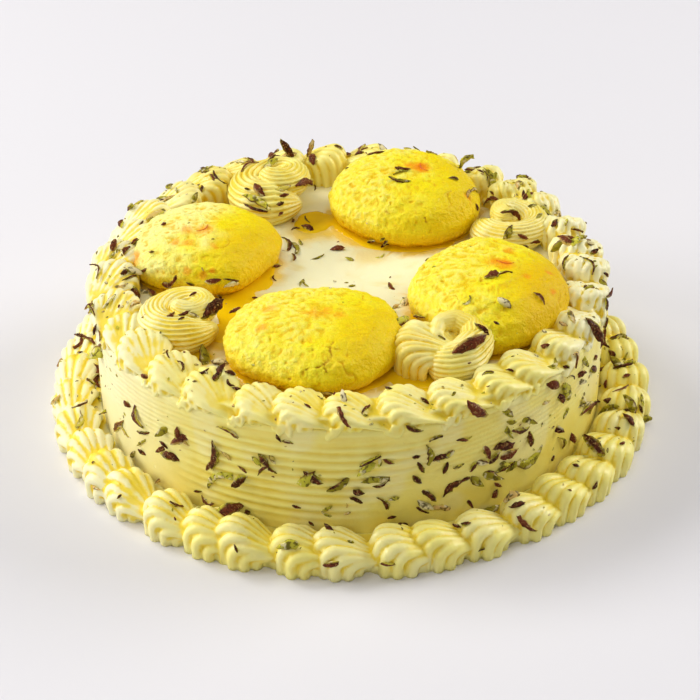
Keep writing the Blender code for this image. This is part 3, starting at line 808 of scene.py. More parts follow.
# Slivers that the photograph shows, each by the pixels of its two ends, its width in pixels and its
# kind: s skin up, r reddish skin, g green, l light green, t tan, v pale violet skin
SLIVERS = """
268 163 276 156 5 s, 265 168 278 160 8 l, 281 158 297 154 7 t, 240 174 260 162 3 r, 213 170 226 184 3 s,
256 185 263 196 9 r, 243 195 270 210 8 l, 243 203 268 212 3 s, 291 187 317 182 8 r, 311 183 314 192 2 s,
275 190 290 188 7 t, 278 197 288 195 4 r, 277 204 283 203 5 s, 278 215 283 213 4 r, 290 215 291 230 3 s,
291 230 300 229 2 s, 303 226 313 233 7 r, 305 216 314 225 2 s, 278 232 290 256 4 s, 287 240 296 256 5 g,
299 240 302 247 3 g, 282 250 293 262 4 r, 245 188 250 190 3 s, 111 251 116 241 8 r, 124 256 130 247 4 r,
126 268 140 274 8 v, 122 273 128 271 6 s, 140 273 147 269 4 r, 115 287 127 284 4 t, 130 286 137 298 8 s,
138 291 150 294 5 v, 149 291 155 298 7 r, 90 265 96 278 2 s, 130 308 140 302 4 t, 80 309 85 304 4 r,
84 309 85 318 2 s, 86 306 92 316 4 l, 94 334 97 325 4 s, 98 330 99 341 2 r, 96 344 105 344 3 r,
89 355 113 351 14 t, 94 364 97 374 4 r, 161 283 176 277 6 r, 187 282 194 285 3 s, 206 281 220 280 6 r,
223 279 238 281 2 s, 224 286 238 284 5 v, 190 296 197 293 3 r, 217 293 222 302 3 s, 177 316 190 311 3 s,
166 318 174 313 6 r, 178 321 184 318 3 s, 190 313 199 317 3 v, 203 314 221 304 15 s, 229 313 240 308 4 r,
203 348 204 372 11 g, 197 373 208 369 3 s, 213 362 226 364 8 v, 216 373 224 366 6 s, 226 372 234 376 5 s,
168 350 169 357 2 s, 178 362 182 371 3 s, 143 374 150 378 6 r, 70 410 88 397 4 v, 52 404 60 396 5 t,
95 390 104 382 3 v, 100 392 104 404 3 l, 126 401 131 407 6 r, 137 402 143 427 6 r, 138 431 150 433 3 s,
108 426 130 419 4 r, 113 433 124 421 6 r, 122 425 130 438 4 t, 100 414 113 412 4 l, 158 434 170 429 8 g,
173 442 190 437 9 r, 178 428 181 442 6 r, 183 435 190 446 4 t, 157 450 166 447 6 r, 160 441 167 448 3 s,
164 452 179 459 9 s, 127 461 138 453 5 s, 139 449 147 455 4 s, 138 445 146 440 3 g, 155 482 162 478 4 t,
219 426 237 438 4 r, 278 433 281 441 3 s, 281 441 292 443 3 s, 213 442 212 466 7 s, 207 468 211 462 5 r,
221 450 230 459 4 t, 260 455 267 465 7 s, 254 457 260 465 5 l, 271 454 274 463 5 t, 259 474 268 467 3 s,
268 465 275 472 3 s, 233 483 246 477 10 s, 239 466 246 472 3 r, 209 486 232 477 7 l, 299 480 313 474 11 l,
306 472 320 483 8 s, 329 490 348 479 6 g, 318 393 334 394 3 r, 343 392 344 404 6 v, 339 408 348 426 5 r,
362 413 370 406 3 s, 305 404 310 408 3 r, 233 388 240 391 4 s, 228 380 234 386 3 s, 212 381 222 371 6 s,
357 470 379 455 4 s, 359 474 374 466 9 l, 378 455 377 468 3 t, 364 481 390 480 7 g, 371 485 389 478 3 s,
384 458 393 463 5 r, 413 457 419 457 4 s, 418 462 423 471 5 s, 414 476 420 483 6 s, 426 446 428 464 6 g,
433 460 446 457 6 s, 445 457 453 451 5 g, 443 472 448 463 5 s, 430 440 442 436 3 s, 457 440 467 440 3 s,
464 439 471 437 2 t, 454 467 463 464 3 t, 468 403 483 415 12 r, 504 408 509 416 8 g, 422 398 428 404 4 s,
452 395 455 393 3 g, 386 387 392 389 3 s, 408 425 421 431 6 s, 483 374 493 373 3 s, 506 370 513 372 3 s,
505 425 512 437 6 g, 507 421 516 422 5 g, 484 445 488 457 7 r, 477 460 487 463 6 v, 470 470 476 462 5 s,
492 447 512 445 8 s, 501 456 516 450 8 r, 489 461 498 452 6 s, 500 462 508 466 6 t, 481 470 500 478 8 g,
497 471 512 462 6 s, 505 472 520 460 4 g, 495 482 500 486 5 r, 473 475 480 485 9 g, 443 497 461 482 7 s,
461 482 470 478 4 s, 546 383 556 388 11 r, 556 394 562 402 7 s, 561 379 569 402 9 l, 567 377 574 392 2 s,
577 372 584 372 8 s, 578 379 585 382 7 v, 581 395 584 405 6 t, 592 405 596 402 4 s, 594 395 604 403 4 s,
574 415 597 412 8 r, 576 408 590 407 4 v, 542 403 549 401 4 t, 563 418 568 409 4 g, 521 418 535 423 6 g,
513 430 530 427 4 s, 529 430 530 445 7 s, 516 462 540 447 10 g, 553 427 562 431 7 s, 571 432 573 442 8 r,
587 437 602 455 12 s, 597 388 601 382 3 s, 605 388 607 380 4 r, 600 412 618 408 10 g, 603 399 612 401 7 s,
613 391 628 387 4 r, 622 377 629 376 5 r, 625 395 634 413 9 g, 622 410 632 412 4 s, 640 405 642 413 4 s,
638 420 650 418 7 g, 616 427 619 429 4 s, 558 438 562 452 3 g, 552 460 554 457 4 s, 574 465 578 467 4 s,
588 319 600 341 10 s, 543 345 549 346 6 r, 543 369 552 356 5 g, 571 350 576 372 4 t, 564 366 569 368 4 s,
581 355 588 366 6 g, 610 350 614 358 7 s, 611 358 620 372 10 g, 605 338 609 348 4 s, 610 340 619 336 4 s,
603 273 607 277 4 s, 601 280 605 288 7 g, 611 287 606 298 3 s, 605 298 606 310 4 s, 604 328 607 318 3 s,
578 256 592 275 3 s, 565 270 569 256 3 s, 561 283 577 291 3 s, 582 289 587 286 3 s, 590 252 597 250 6 s,
588 241 593 245 5 v, 532 292 544 304 3 r, 569 312 572 323 7 t, 560 322 566 326 4 t, 523 200 524 191 4 s,
529 190 531 200 4 l, 528 206 537 205 3 g, 536 218 542 215 5 g, 550 211 565 219 5 t, 518 234 527 239 5 r,
530 243 540 242 4 r, 523 245 528 248 4 s, 552 250 566 242 9 g, 571 229 583 232 3 r, 574 238 586 237 6 g,
565 226 568 220 4 t, 389 178 410 181 4 g, 393 174 409 172 5 l, 396 168 410 170 5 r, 449 178 458 180 4 s,
367 154 385 152 3 r, 426 152 437 155 4 r, 467 164 485 168 2 g, 482 170 487 180 2 s, 468 193 482 193 3 t,
467 198 470 190 4 t, 490 191 494 195 3 s, 485 205 499 200 5 r, 501 212 520 220 6 r, 503 236 512 227 10 g,
476 204 477 211 3 s, 366 247 376 240 3 s, 381 248 402 242 6 r, 380 240 385 238 3 g, 374 258 384 254 3 t,
384 245 388 240 4 s, 331 249 344 250 7 r, 345 258 353 262 4 g, 308 260 324 255 3 g, 300 287 304 280 2 g,
304 280 308 287 2 g, 349 286 355 286 3 g, 272 265 281 267 5 r, 274 276 276 281 2 s, 253 298 257 299 3 r,
390 283 395 292 5 r, 399 306 408 300 9 v, 403 298 409 302 3 s, 392 309 399 306 4 t, 391 326 409 319 9 l,
409 315 429 319 3 r, 438 336 446 341 2 s, 455 349 484 338 13 r, 476 324 487 334 6 s,
463 304 470 297 3 g, 486 277 497 276 9 r, 497 278 512 272 3 l, 500 299 508 308 9 v, 495 322 498 324 3 s,
202 495 214 503 5 r, 215 516 240 509 15 r, 243 517 250 508 6 s, 293 505 300 508 3 s, 309 522 312 526 4 s,
326 524 333 531 5 s, 322 511 332 506 3 g, 322 511 333 516 3 g, 343 510 345 501 2 t, 344 513 350 512 3 t,
351 498 361 503 4 s, 355 490 362 494 7 s, 280 546 297 546 10 l, 348 541 353 543 3 g, 325 564 340 563 6 r,
235 545 237 552 3 s, 378 498 387 508 4 s, 389 499 398 498 4 t, 388 519 396 517 4 s, 401 530 409 523 3 s,
419 501 431 509 8 v, 430 508 448 509 6 t, 423 490 434 500 6 s, 415 504 428 513 3 s, 454 524 461 527 3 s,
463 524 470 525 5 s, 467 499 472 507 4 s, 492 496 497 490 6 r, 480 513 498 508 9 g, 505 500 518 496 10 t,
510 507 524 504 5 s, 519 516 535 530 7 r, 478 550 484 548 3 s, 382 562 396 564 4 r, 592 488 597 482 4 s,
170 502 186 505 3 r, 186 505 200 499 3 t, 195 490 202 491 3 s, 92 486 100 490 3 t, 118 498 121 496 3 s,
161 225 166 224 4 r, 139 225 143 221 3 s, 199 167 208 169 3 s, 177 188 177 193 3 g, 150 252 153 252 3 t
"""
# Slivers that stand up: the pixel of the foot, the way up in mm, width in mm and kind
STANDING = (
    ((291, 156), (-4, 1, 8), 3.4, "s"),
    ((308, 156), (2.5, 1, 8), 2.2, "t"),
    ((462, 166), (6, 2, 5), 2.4, "t"),
)
SLIVER_STATIONS = 9
CRUMB_STATIONS = 5
CRUMB_LENGTH = 2  # the longest piece that is made as simply as a crumb, in mm
SLIVER_WIDTH_SHARE = 0.95  # of the width read off the photograph, which its blur widens
SLIVER_CORNERS = (18, 68, 112, 162, 198, 248, 292, 342)  # round its section, in degrees
FACE_CORNERS = (1, 2)
SIDE_CORNERS = ((0, 7), (3, 4))
RIM_CORNERS = (0, 3, 4, 7)
SLIVER_TWIST = 0.35
SLIVER_SUNK = 0.1
LONGEST_SLIVER = 13
THICKEST = 2.5
CHUNKY_SHARE = 0.36  # of the length: a piece as wide as this is a rounded chunk
CHUNK_PROUD = 0.3  # how far a chunk is raised over the food, in mm
CHUNK_LEAN = 1.1  # how far a chunk's face turns from the food's surface to the photograph's view
FLOOR_GAP = 0.05  # least height of a piece over the floor, in mm
OUTSIDE = 200  # from the cake's axis, in mm, where the rays that meet the wall start
ABOVE = 120  # mm up, where the rays that meet the top start
SHARPEST_SMOOTH = 46  # degrees: sharper edges of a piece of nut stay sharp
# How light each kind of piece is
TONES = {"s": 0.1, "r": 0.75, "g": 0.12, "l": 0.4, "t": 0.75, "v": 0.2}
SLIVER_KINDS = "sssrrrggglttv"
CRUMB_KINDS = "rrgggllltttv"
# Where more slivers lie than the photograph's own: a span of height or radius, and arcs of the cake,
# each from and to so many degrees with its number of slivers
WALL_SPAN, WALL_STREWN = (17, 47), ((-25, 20, 8), (20, 160, 100), (160, 190, 14))
RIM_SPAN, RIM_STREWN = (84, 103), ((-30, 20, 8), (20, 160, 56), (160, 200, 8))
FOOT_SPAN, FOOT_STREWN = (101, 119), ((-30, 20, 8), (20, 160, 50), (160, 200, 8))
# Crumbs of nut, likewise. On the top each arc has its own span of radius
WALL_CRUMBS_FROM, WALL_CRUMBS_UP = 17, 32
WALL_CRUMBS = ((-55, 25, 80), (25, 165, 170), (165, 215, 40), (215, 305, 16))
TOP_CRUMBS = (
    (-55, 40, 84, 104, 80),
    (40, 150, 82, 104, 120),
    (150, 215, 84, 104, 90),
    (215, 305, 82, 100, 60),
    (0, 360, 0, 84, 40),
)
CRUMBS_SPAN, FOOT_CRUMBS = (101, 120), ((-60, 30, 60), (30, 160, 80), (160, 300, 30))


def skin_of(kind, rng):
    """How much of each of a sliver's corner points is skin: its face, or only one of its sides."""
    skin = np.zeros(len(SLIVER_CORNERS))
    if kind in "sr":
        skin[list(FACE_CORNERS)] = 1
    share = rng.choice((1, 1, 1, 0.4) if kind in "srv" else (1, 1, 0.5, 0))
    skin[list(rng.choice(SIDE_CORNERS))] = share
    return skin


def sliver_shape(length, width, kind, rng):
    """A sliver lying along x with its face up: points, faces and, for each point, how much is skin."""
    stations = SLIVER_STATIONS if length > CRUMB_LENGTH else CRUMB_STATIONS
    chunky = width > CHUNKY_SHARE * length
    thick = min(THICKEST, 0.55 * width) if chunky else min(THICKEST, 0.5 + 0.4 * width)
    u = np.linspace(-1, 1, stations)
    ends = np.where(u > 0, rng.uniform(0.1, 0.7), rng.uniform(0.03, 0.4))
    taper, full = (2.2, 0.5) if chunky else (rng.uniform(1.7, 3.8), rng.uniform(0.55, 0.95))
    half = 0.5 * width * np.maximum(1 - np.abs(u) ** taper, 0.5 * ends if chunky else ends) ** full
    uneven = 0.06 if chunky else 0.14
    half *= 1 + uneven * (np.sin(3.3 * u + rng.uniform(0, 6)) + np.sin(9 * u + rng.uniform(0, 6)))
    deep = 0.5 * thick * np.maximum(1 - np.abs(u) ** 3, 0.25) ** 0.6
    curl = 0.28 if width < 0.35 * length else 0.07
    bend = rng.uniform(-0.15, 0.15) * width + rng.uniform(-curl, curl) * length
    arch = rng.uniform(-0.02, 0.12) * length
    around = np.radians(SLIVER_CORNERS) + np.array([rng.uniform(-0.12, 0.12) for _ in SLIVER_CORNERS])
    square = 0.8 if chunky else 0.55
    wide = np.sign(np.cos(around)) * np.abs(np.cos(around)) ** square
    high = np.sign(np.sin(around)) * np.abs(np.sin(around)) ** square
    twist = rng.uniform(-SLIVER_TWIST, SLIVER_TWIST) * u[:, None]
    across, rise = half[:, None] * wide, deep[:, None] * high
    rings = np.empty((stations, len(around), 3))
    rings[..., 0] = 0.5 * length * u[:, None] + 0.25 * width * np.cos(around + rng.uniform(-1, 1))
    rings[..., 1] = across * np.cos(twist) - rise * np.sin(twist) + bend * (1 - u**2)[:, None]
    rings[..., 2] = across * np.sin(twist) + rise * np.cos(twist) - arch * (u**2)[:, None]
    points, faces = tube(rings)
    jag = min((0.05 if chunky else 0.12) * width, 0.28)
    points += np.array([rng.uniform(-jag, jag) for _ in range(points.size)]).reshape(-1, 3)
    return points, faces, np.tile(skin_of(kind, rng), stations)


class Strewn:
    """Many small pieces gathered into one mesh."""

    def __init__(self, surface, rng):
        self.surface, self.rng = surface, rng
        self.shapes = []
        self.marks = {"skin": [], "tone": [], "pale": [], "edge": []}

    def add(self, middle, along, up, length, width, kind, sunk=SLIVER_SUNK):
        """Adds one piece that lies along a way on the food, up its surface, leant at random."""
        rng = self.rng
        points, faces, skin = sliver_shape(length, width, kind, rng)
        up = up.normalized()
        along = (along - up * along.dot(up)).normalized()
        lean = Quaternion(along, math.radians(rng.uniform(-22, 22)))
        up = lean @ up
        pitch = Quaternion(along.cross(up), math.radians(rng.uniform(-7, 7)))
        along, up = pitch @ along, pitch @ up
        turn = np.array((along, up.cross(along), up)).T
        thick = points[:, 2].max() - points[:, 2].min()
        place = np.array(middle + up * float(0.35 * thick - sunk))
        points = points @ turn.T + place
        points[:, 2] += max(0.0, FLOOR_GAP - points[:, 2].min())
        self.shapes.append((points, faces))
        tone = min(1, max(0, TONES[kind] + rng.uniform(-0.12, 0.12)))
        edge = np.zeros(len(SLIVER_CORNERS))
        edge[list(RIM_CORNERS)] = rng.uniform(0.1, 0.9)
        self.marks["skin"].append(skin)
        self.marks["tone"].append(np.full(len(points), tone))
        self.marks["pale"].append(np.full(len(points), 1.0 if kind == "v" else 0.0))
        self.marks["edge"].append(np.tile(edge, len(points) // len(edge)))

    def between(self, first, last, width, kind):
        """Lays a sliver where the photograph shows it, by the pixels of its ends."""
        first, last = np.array(first), np.array(last)
        wide = SLIVER_WIDTH_SHARE * width / PIXELS_PER_MM
        flat_length = float(np.linalg.norm(last - first)) / PIXELS_PER_MM
        found = self.surface.under_pixel((first + last) / 2)
        if not found:
            return
        place, normal = found
        up = self.surface.settled(place, normal, max(1.0, 0.3 * flat_length))
        back, turn = view_turn()
        chunky = wide > CHUNKY_SHARE * flat_length
        if chunky:
            up = (up + CHUNK_LEAN * back).normalized()
        across = turn @ Vector((float(last[0] - first[0]), float(first[1] - last[1]), 0))
        sight = ray_through((first + last) / 2)
        # the way on the surface that the camera sees as this line
        along = across - sight * (across.dot(up) / min(sight.dot(up), -0.25))
        along = along.normalized()
        seen = max((along - sight * along.dot(sight)).length, 0.85 if chunky else 0.5)
        length = min(max(flat_length / seen, 1.2 * wide, 2.0), LONGEST_SLIVER)
        self.add(place, along, up, length, wide, kind, -CHUNK_PROUD if chunky else SLIVER_SUNK)

    def scatter(self, start, way, size_of, kinds):
        """Lays a piece at random where a ray meets the food."""
        found = self.surface.cast(Vector(start) * MM, Vector(way))
        if not found:
            return
        place, normal = found[0] / MM, found[1]
        length, width = size_of()
        up = self.surface.settled(place, normal, 0.3 * length) if length > 3 else normal
        spin = Quaternion(up, self.rng.uniform(0, 2 * math.pi))
        self.add(place, spin @ up.orthogonal(), up, length, width, self.rng.choice(kinds))

    def strew(self, ray, arcs, span, size_of, kinds):
        """Scatters pieces over arcs of the cake and a span of height or radius."""
        for low, high, count in arcs:
            for _ in range(count):
                place = self.rng.uniform(low, high), self.rng.uniform(*span)
                self.scatter(*ray(*place), size_of, kinds)

    def made(self, name):
        obj = new_object(name, *joined(self.shapes))
        for mark, values in self.marks.items():
            attribute(obj, mark, np.concatenate(values))
        return obj


def outward_ray(degrees, z):
    """A start and a way that meet the wall from outside."""
    turn = math.radians(degrees)
    return (OUTSIDE * math.cos(turn), OUTSIDE * math.sin(turn), z), (-math.cos(turn), -math.sin(turn), 0)


def downward_ray(degrees, radius):
    """A start and a way that meet the food from above."""
    turn = math.radians(degrees)
    return (radius * math.cos(turn), radius * math.sin(turn), ABOVE), (0, 0, -1)


def nut_slivers(surface):
    """The slivers that the photograph shows, then those of the sides that it doesn't show."""
    rng = random.Random("slivers")
    strewn = Strewn(surface, rng)
    for line in SLIVERS.replace("\n", " ").split(","):
        *numbers, kind = line.split()
        x0, y0, x1, y1, width = (float(number) for number in numbers)
        strewn.between((x0, y0), (x1, y1), width, kind)
    for pixel, reach, width, kind in STANDING:
        foot, reach = surface.under_pixel(pixel)[0], Vector(reach)
        strewn.add(foot + 0.42 * reach, reach, Vector((0.2, -1, 0.2)), reach.length, width, kind)

    def size():
        length = rng.uniform(3.0, 8.5)
        return length, min(rng.uniform(0.9, 3.6), 0.6 * length)

    strewn.strew(outward_ray, WALL_STREWN, WALL_SPAN, size, SLIVER_KINDS)
    strewn.strew(downward_ray, RIM_STREWN, RIM_SPAN, size, SLIVER_KINDS)
    strewn.strew(downward_ray, FOOT_STREWN, FOOT_SPAN, size, SLIVER_KINDS)
    return strewn.made("nut_slivers")


def nut_crumbs(surface):
    rng = random.Random("crumbs")
    strewn = Strewn(surface, rng)

    def size():
        length = rng.uniform(0.5, 1.5) ** 1.3
        return length, length * rng.uniform(0.35, 0.8)

    for low, high, count in WALL_CRUMBS:
        for _ in range(count):
            z = WALL_CRUMBS_FROM + WALL_CRUMBS_UP * rng.random() ** 0.8
            strewn.scatter(*outward_ray(rng.uniform(low, high), z), size, CRUMB_KINDS)
    for low, high, near, far, count in TOP_CRUMBS:
        strewn.strew(downward_ray, ((low, high, count),), (near, far), size, CRUMB_KINDS)
    strewn.strew(downward_ray, FOOT_CRUMBS, CRUMBS_SPAN, size, CRUMB_KINDS)
    return strewn.made("nut_crumbs")


# Syrup and saffron

# Pools of syrup on the top: x, y, radius in mm
POOLS = (
    (24, -66, 10), (16, -44, 8), (-46, -36, 9), (-44, -22, 9), (-44, -10, 10), (-38, 2, 9),
    (-41, 15, 9), (-14, 52, 10), (62, 10, 9), (-84, 30, 6), (-58, 50, 8),
)
POOL_FIELD = 88  # half the width of the square that the pools are cut out of
POOL_LIMIT = 86  # from the cake's middle
POOL_CELL = 1.1
POOL_REACH = 0.91  # of its radius, to where a pool's edge meets the cream
POOL_RAGGED = 2.5
POOL_DEPTH = 0.3
POOL_SLOPE = 0.45
POOL_SUNK = 0.7
POOL_THICK = 0.4
# How much of the painted shade in the valleys and painted highlight on the ridges the piping takes, and
# of the syrup's colour on its ridges
VALLEY_SHADE_SHARE = 0.95
WALL_VALLEY_SHADE_SHARE = 0.6
RIDGE_HIGHLIGHT_SHARE = 0.6
GLAZE_ON_RIDGES = 0.25
# painted sheen on the cake's flat top
TOP_SHEEN = 0.9
FLAT_RADIUS = 84
# Soaked places in the cream: x, y, radius in mm, strength
SOAKED = (
    (23, -63, 9, 2.6), (26, -72, 11, 1.2), (-48, -42, 9, 0.9), (-58, -52, 9, 1.6), (-44, -30, 8, 0.9),
    (-32, -14, 9, 0.6), (-16, 44, 12, 0.8), (-50, 72, 26, 0.9), (-57, 74, 11, 3.0), (-78, 48, 20, 0.7),
    (62, 8, 10, 0.7), (2, 96, 12, 0.8), (80, -25, 8, 0.5), (10, 22, 8, 0.4), (-88, -20, 9, 0.45),
    (-94, 10, 12, 0.5),
)
# Saffron stains: the pixel of the photograph, its radius in mm and its strength
STAINS = (
    (186, 229, 3.6, 0.55), (205, 229, 4.4, 0.65), (176, 242, 2.4, 0.6), (188, 243, 3.0, 0.6),
    (188, 272, 2.0, 0.6), (202, 275, 2.2, 0.6), (213, 271, 2.0, 0.7), (314, 313, 4.0, 0.5),
    (328, 311, 3.4, 0.75), (338, 315, 3.6, 0.5), (268, 309, 3.0, 0.5), (262, 327, 2.8, 0.6),
    (410, 166, 3.4, 0.8), (421, 168, 4.8, 1.0), (375, 152, 4.0, 0.6), (495, 261, 4.0, 0.8),
    (504, 263, 4.8, 1.0), (508, 251, 2.6, 0.7), (467, 196, 2.4, 0.6), (553, 293, 2.0, 0.8),
    (548, 272, 1.8, 0.7), (527, 276, 1.8, 0.6), (430, 395, 3.0, 0.6), (243, 402, 3.0, 0.7),
    (136, 257, 4.0, 0.7), (120, 286, 3.2, 0.6), (214, 246, 2.0, 0.5),
)
# Cracks in the patties, each by pixels along it
CRACKS = (
    ((333, 341), (329, 350), (332, 356), (325, 363), (326, 371)),
    ((312, 346), (313, 350)),
    ((324, 363), (318, 368)),
    ((303, 371), (307, 368)),
    ((288, 380), (291, 377)),
    ((424, 217), (427, 221)),
    ((384, 210), (387, 212)),
)
CRACK_HALF_WIDTH = 0.16
CRACK_DEPTH = 0.6
STRAND_RADIUS = 0.2
STRAND_STATIONS = 9
STRANDS_FROM = 4.3  # the least radius of a stain with a strand on it


def away_from_patties(points):
    """For each patty: the points' distance from its middle as a share of its outline's, and its size."""
    for x, y, half_length, half_width, _, _, _ in PATTIES.values():
        yield np.hypot((points[:, 0] - x) / half_length, (points[:, 1] - y) / half_width), half_width


def inside_pool(points):
    """How far inside the ragged edge of a pool of syrup the top's points lie, in mm."""
    ragged = POOL_RAGGED * layered_noise(points * (1, 1, 0), 7, 2, 2.2)
    inside = np.full(len(points), -math.inf)
    for x, y, radius in POOLS:
        away = np.hypot(points[:, 0] - x, points[:, 1] - y)
        inside = np.maximum(inside, POOL_REACH * radius - away - ragged)
    for away, size in away_from_patties(points):
        inside = np.maximum(inside, size * (1 - away) - 0.5 * ragged)
    return inside


def syrup_pools():
    """Syrup on the top: a thin film that slopes down into the cream at its edge."""
    count = int(2 * POOL_FIELD / POOL_CELL)
    side = np.linspace(-POOL_FIELD, POOL_FIELD, count)
    x, y = (grid.ravel() for grid in np.meshgrid(side, side))
    points = np.stack([x, y, np.full(x.size, float(CAKE_TOP))], axis=-1)
    rise = POOL_SLOPE * inside_pool(points)
    points[:, 2] += np.clip(rise, -POOL_SUNK, POOL_DEPTH) + 0.06 * noise(points, 3, 4.4)
    shown = (rise > -POOL_SUNK) & (np.hypot(x, y) < POOL_LIMIT)
    corner = np.arange(count * count).reshape(count, count)
    cells = np.stack([corner[:-1, :-1], corner[:-1, 1:], corner[1:, 1:], corner[1:, :-1]], axis=-1)
    cells = cells.reshape(-1, 4)
    used, cells = np.unique(cells[shown[cells].all(axis=1)], return_inverse=True)
    obj = new_object("syrup", points[used], cells.reshape(-1, 4).tolist())
    thicken = obj.modifiers.new("Thicken", "SOLIDIFY")
    thicken.thickness = POOL_THICK * MM
    thicken.offset = -1
    apply_modifiers(obj)
    return obj


def glaze_of(points):
    """How soaked the cream is, from 0 to 1."""
    total = np.zeros(len(points))
    ragged = 3 * layered_noise(points, 6, 3, 2.2)
    for x, y, radius, strength in SOAKED:
        away = np.hypot(points[:, 0] - x, points[:, 1] - y) + ragged
        total = np.maximum(total, strength * (1 - ramp(away, 0.45 * radius, 1.2 * radius)))
    on_top = points[:, 2] > CAKE_TOP - 2
    for away, _ in away_from_patties(points):
        near = 1 - ramp(away + 0.03 * ragged, 1.0, 1.16)
        total = np.maximum(total, 0.85 * near * on_top)
    low = 1 - 0.7 * ramp(points[:, 2], CAKE_TOP + 3, CAKE_TOP + 9)
    return np.clip(total * low * ramp(points[:, 2], CAKE_TOP - 12, CAKE_TOP - 4), 0, 1)


def drips_of(points, depth):
    """Bright yellow that ran into the piping's valleys, more to the left of the cake."""
    place = noise(points, 8, 6.1) + 0.5 * noise(points, 2.8, 2.7)
    left = 1 - ramp(points[:, 0], -95, -35)
    run = place + 0.1 + 0.65 * left + 4.5 * np.clip(depth, -0.2, 0.15)
    return (0.42 + 0.53 * left) * ramp(run, 0.15, 0.68)


def stain_of(points, places):
    total = np.zeros(len(points))
    ragged = 0.9 * layered_noise(points, 2.5, 3, 1.2)
    for place, radius, strength in places:
        away = np.linalg.norm(points - place, axis=1) + ragged
        total = np.maximum(total, strength * (1 - ramp(away, 0.3 * radius, 1.15 * radius)))
    return total


def crack_of(points, lines):
    """How near each point is to a crack, from 0 to 1."""
    total = np.zeros(len(points))
    ragged = points + 0.7 * np.stack([noise(points, 1.2, k) for k in (1.1, 4.7, 9.2)], axis=-1)
    for line in lines:
        for first, last in zip(line, line[1:]):
            along = last - first
            share = np.clip((ragged - first) @ along / (along @ along), 0, 1)
            away = np.linalg.norm(ragged - first - share[:, None] * along, axis=1)
            total = np.maximum(total, 1 - ramp(away, CRACK_HALF_WIDTH, 4 * CRACK_HALF_WIDTH))
    return total


def saffron_strand(surface, middle, reach, heading):
    """One strand, slightly bent, that lies on the food, or None where it would hang over an edge."""
    line = []
    steps = np.linspace(-1, 1, STRAND_STATIONS)
    for step in steps:
        x = middle[0] + reach * step * math.cos(heading + 0.5 * step)
        y = middle[1] + reach * step * math.sin(heading + 0.5 * step)
        found = surface.cast(Vector((x, y, middle[2] + 12)) * MM, Vector((0, 0, -1)))
        if not found:
            return None
        line.append(np.array(found[0] / MM + found[1] * 0.5 * STRAND_RADIUS))
    return rope(np.array(line), STRAND_RADIUS * (1 - 0.6 * np.abs(steps)))


def saffron_strands(surface, places):
    """A short strand where saffron has coloured the food most."""
    rng = random.Random("saffron")
    strands = []
    for place, radius, _ in places:
        if radius >= STRANDS_FROM:
            strands.append(saffron_strand(surface, place, 0.8 * radius, rng.uniform(0, 2 * math.pi)))
    return new_object("saffron_strands", *joined([strand for strand in strands if strand]))


# Materials


def new_material(name, colour, roughness, gloss=0.5):
    made = bpy.data.materials.new(name)
    made.use_nodes = True
    shader = made.node_tree.nodes["Principled BSDF"]
    shader.inputs["Base Color"].default_value = (*colour, 1)
    shader.inputs["Roughness"].default_value = roughness
    shader.inputs["Specular IOR Level"].default_value = gloss
    return made, made.node_tree, shader


def node(tree, kind, **settings):
    made = tree.nodes.new(kind)
    for key, value in settings.items():
        setattr(made, key, value)
    return made


def noise_node(tree, size_mm, detail=3.0, distortion=0.0):
    """Noise in the object's own space, one swell about every size_mm."""
    place = tree.nodes.get("Place") or node(tree, "ShaderNodeTexCoord", name="Place")
    made = node(tree, "ShaderNodeTexNoise")
    made.inputs["Scale"].default_value = 1000 / size_mm
    made.inputs["Detail"].default_value = detail
    made.inputs["Distortion"].default_value = distortion
    tree.links.new(place.outputs["Object"], made.inputs["Vector"])
    return made.outputs["Fac"]


def mask(tree, value, low, high, most=1.0, least=0.0):
    """A value turned into a mask: least at low, most at high."""
    made = node(tree, "ShaderNodeMapRange", interpolation_type="SMOOTHSTEP")
    made.inputs["From Min"].default_value = low
    made.inputs["From Max"].default_value = high
    made.inputs["To Min"].default_value = least
    made.inputs["To Max"].default_value = most
    tree.links.new(value, made.inputs["Value"])
    return made.outputs["Result"]


def read_attribute(tree, name):
    return node(tree, "ShaderNodeAttribute", attribute_name=name).outputs["Fac"]


def mixed(tree, factor, first, second):
    """One colour over another. Each is a colour or a socket."""
    made = node(tree, "ShaderNodeMix", data_type="RGBA")
    tree.links.new(factor, made.inputs["Factor"])
    for name, colour in (("A", first), ("B", second)):
        socket = [s for s in made.inputs if s.name == name and s.type == "RGBA"][0]
        if isinstance(colour, tuple):
            socket.default_value = (*colour, 1)
        else:
            tree.links.new(colour, socket)
    return [s for s in made.outputs if s.type == "RGBA"][0]


def mottled(tree, colour, *patches):
    """A colour with patches of others over it, each given by its size in mm, detail and distortion,
    the span of noise over which it comes, how far it covers and its colour."""
    for size, detail, distortion, low, high, most, over in patches:
        patch = mask(tree, noise_node(tree, size, detail, distortion), low, high, most)
        colour = mixed(tree, patch, colour, over)
    return colour


def marked(tree, colour, **marks):
    """A colour with others over it, each as far as the object's attribute of that name says."""
    for name, over in marks.items():
        colour = mixed(tree, read_attribute(tree, name), colour, over)
    return colour


def bump(tree, shader, height, distance_mm, under=None):
    made = node(tree, "ShaderNodeBump")
    made.inputs["Distance"].default_value = distance_mm * MM
    tree.links.new(height, made.inputs["Height"])
    if under:
        tree.links.new(under, made.inputs["Normal"])
    tree.links.new(made.outputs["Normal"], shader.inputs["Normal"])
    return made.outputs["Normal"]


def scatter_under(shader, weight, depth_mm, radius):
    shader.inputs["Subsurface Weight"].default_value = weight
    shader.inputs["Subsurface Scale"].default_value = depth_mm * MM
    shader.inputs["Subsurface Radius"].default_value = radius


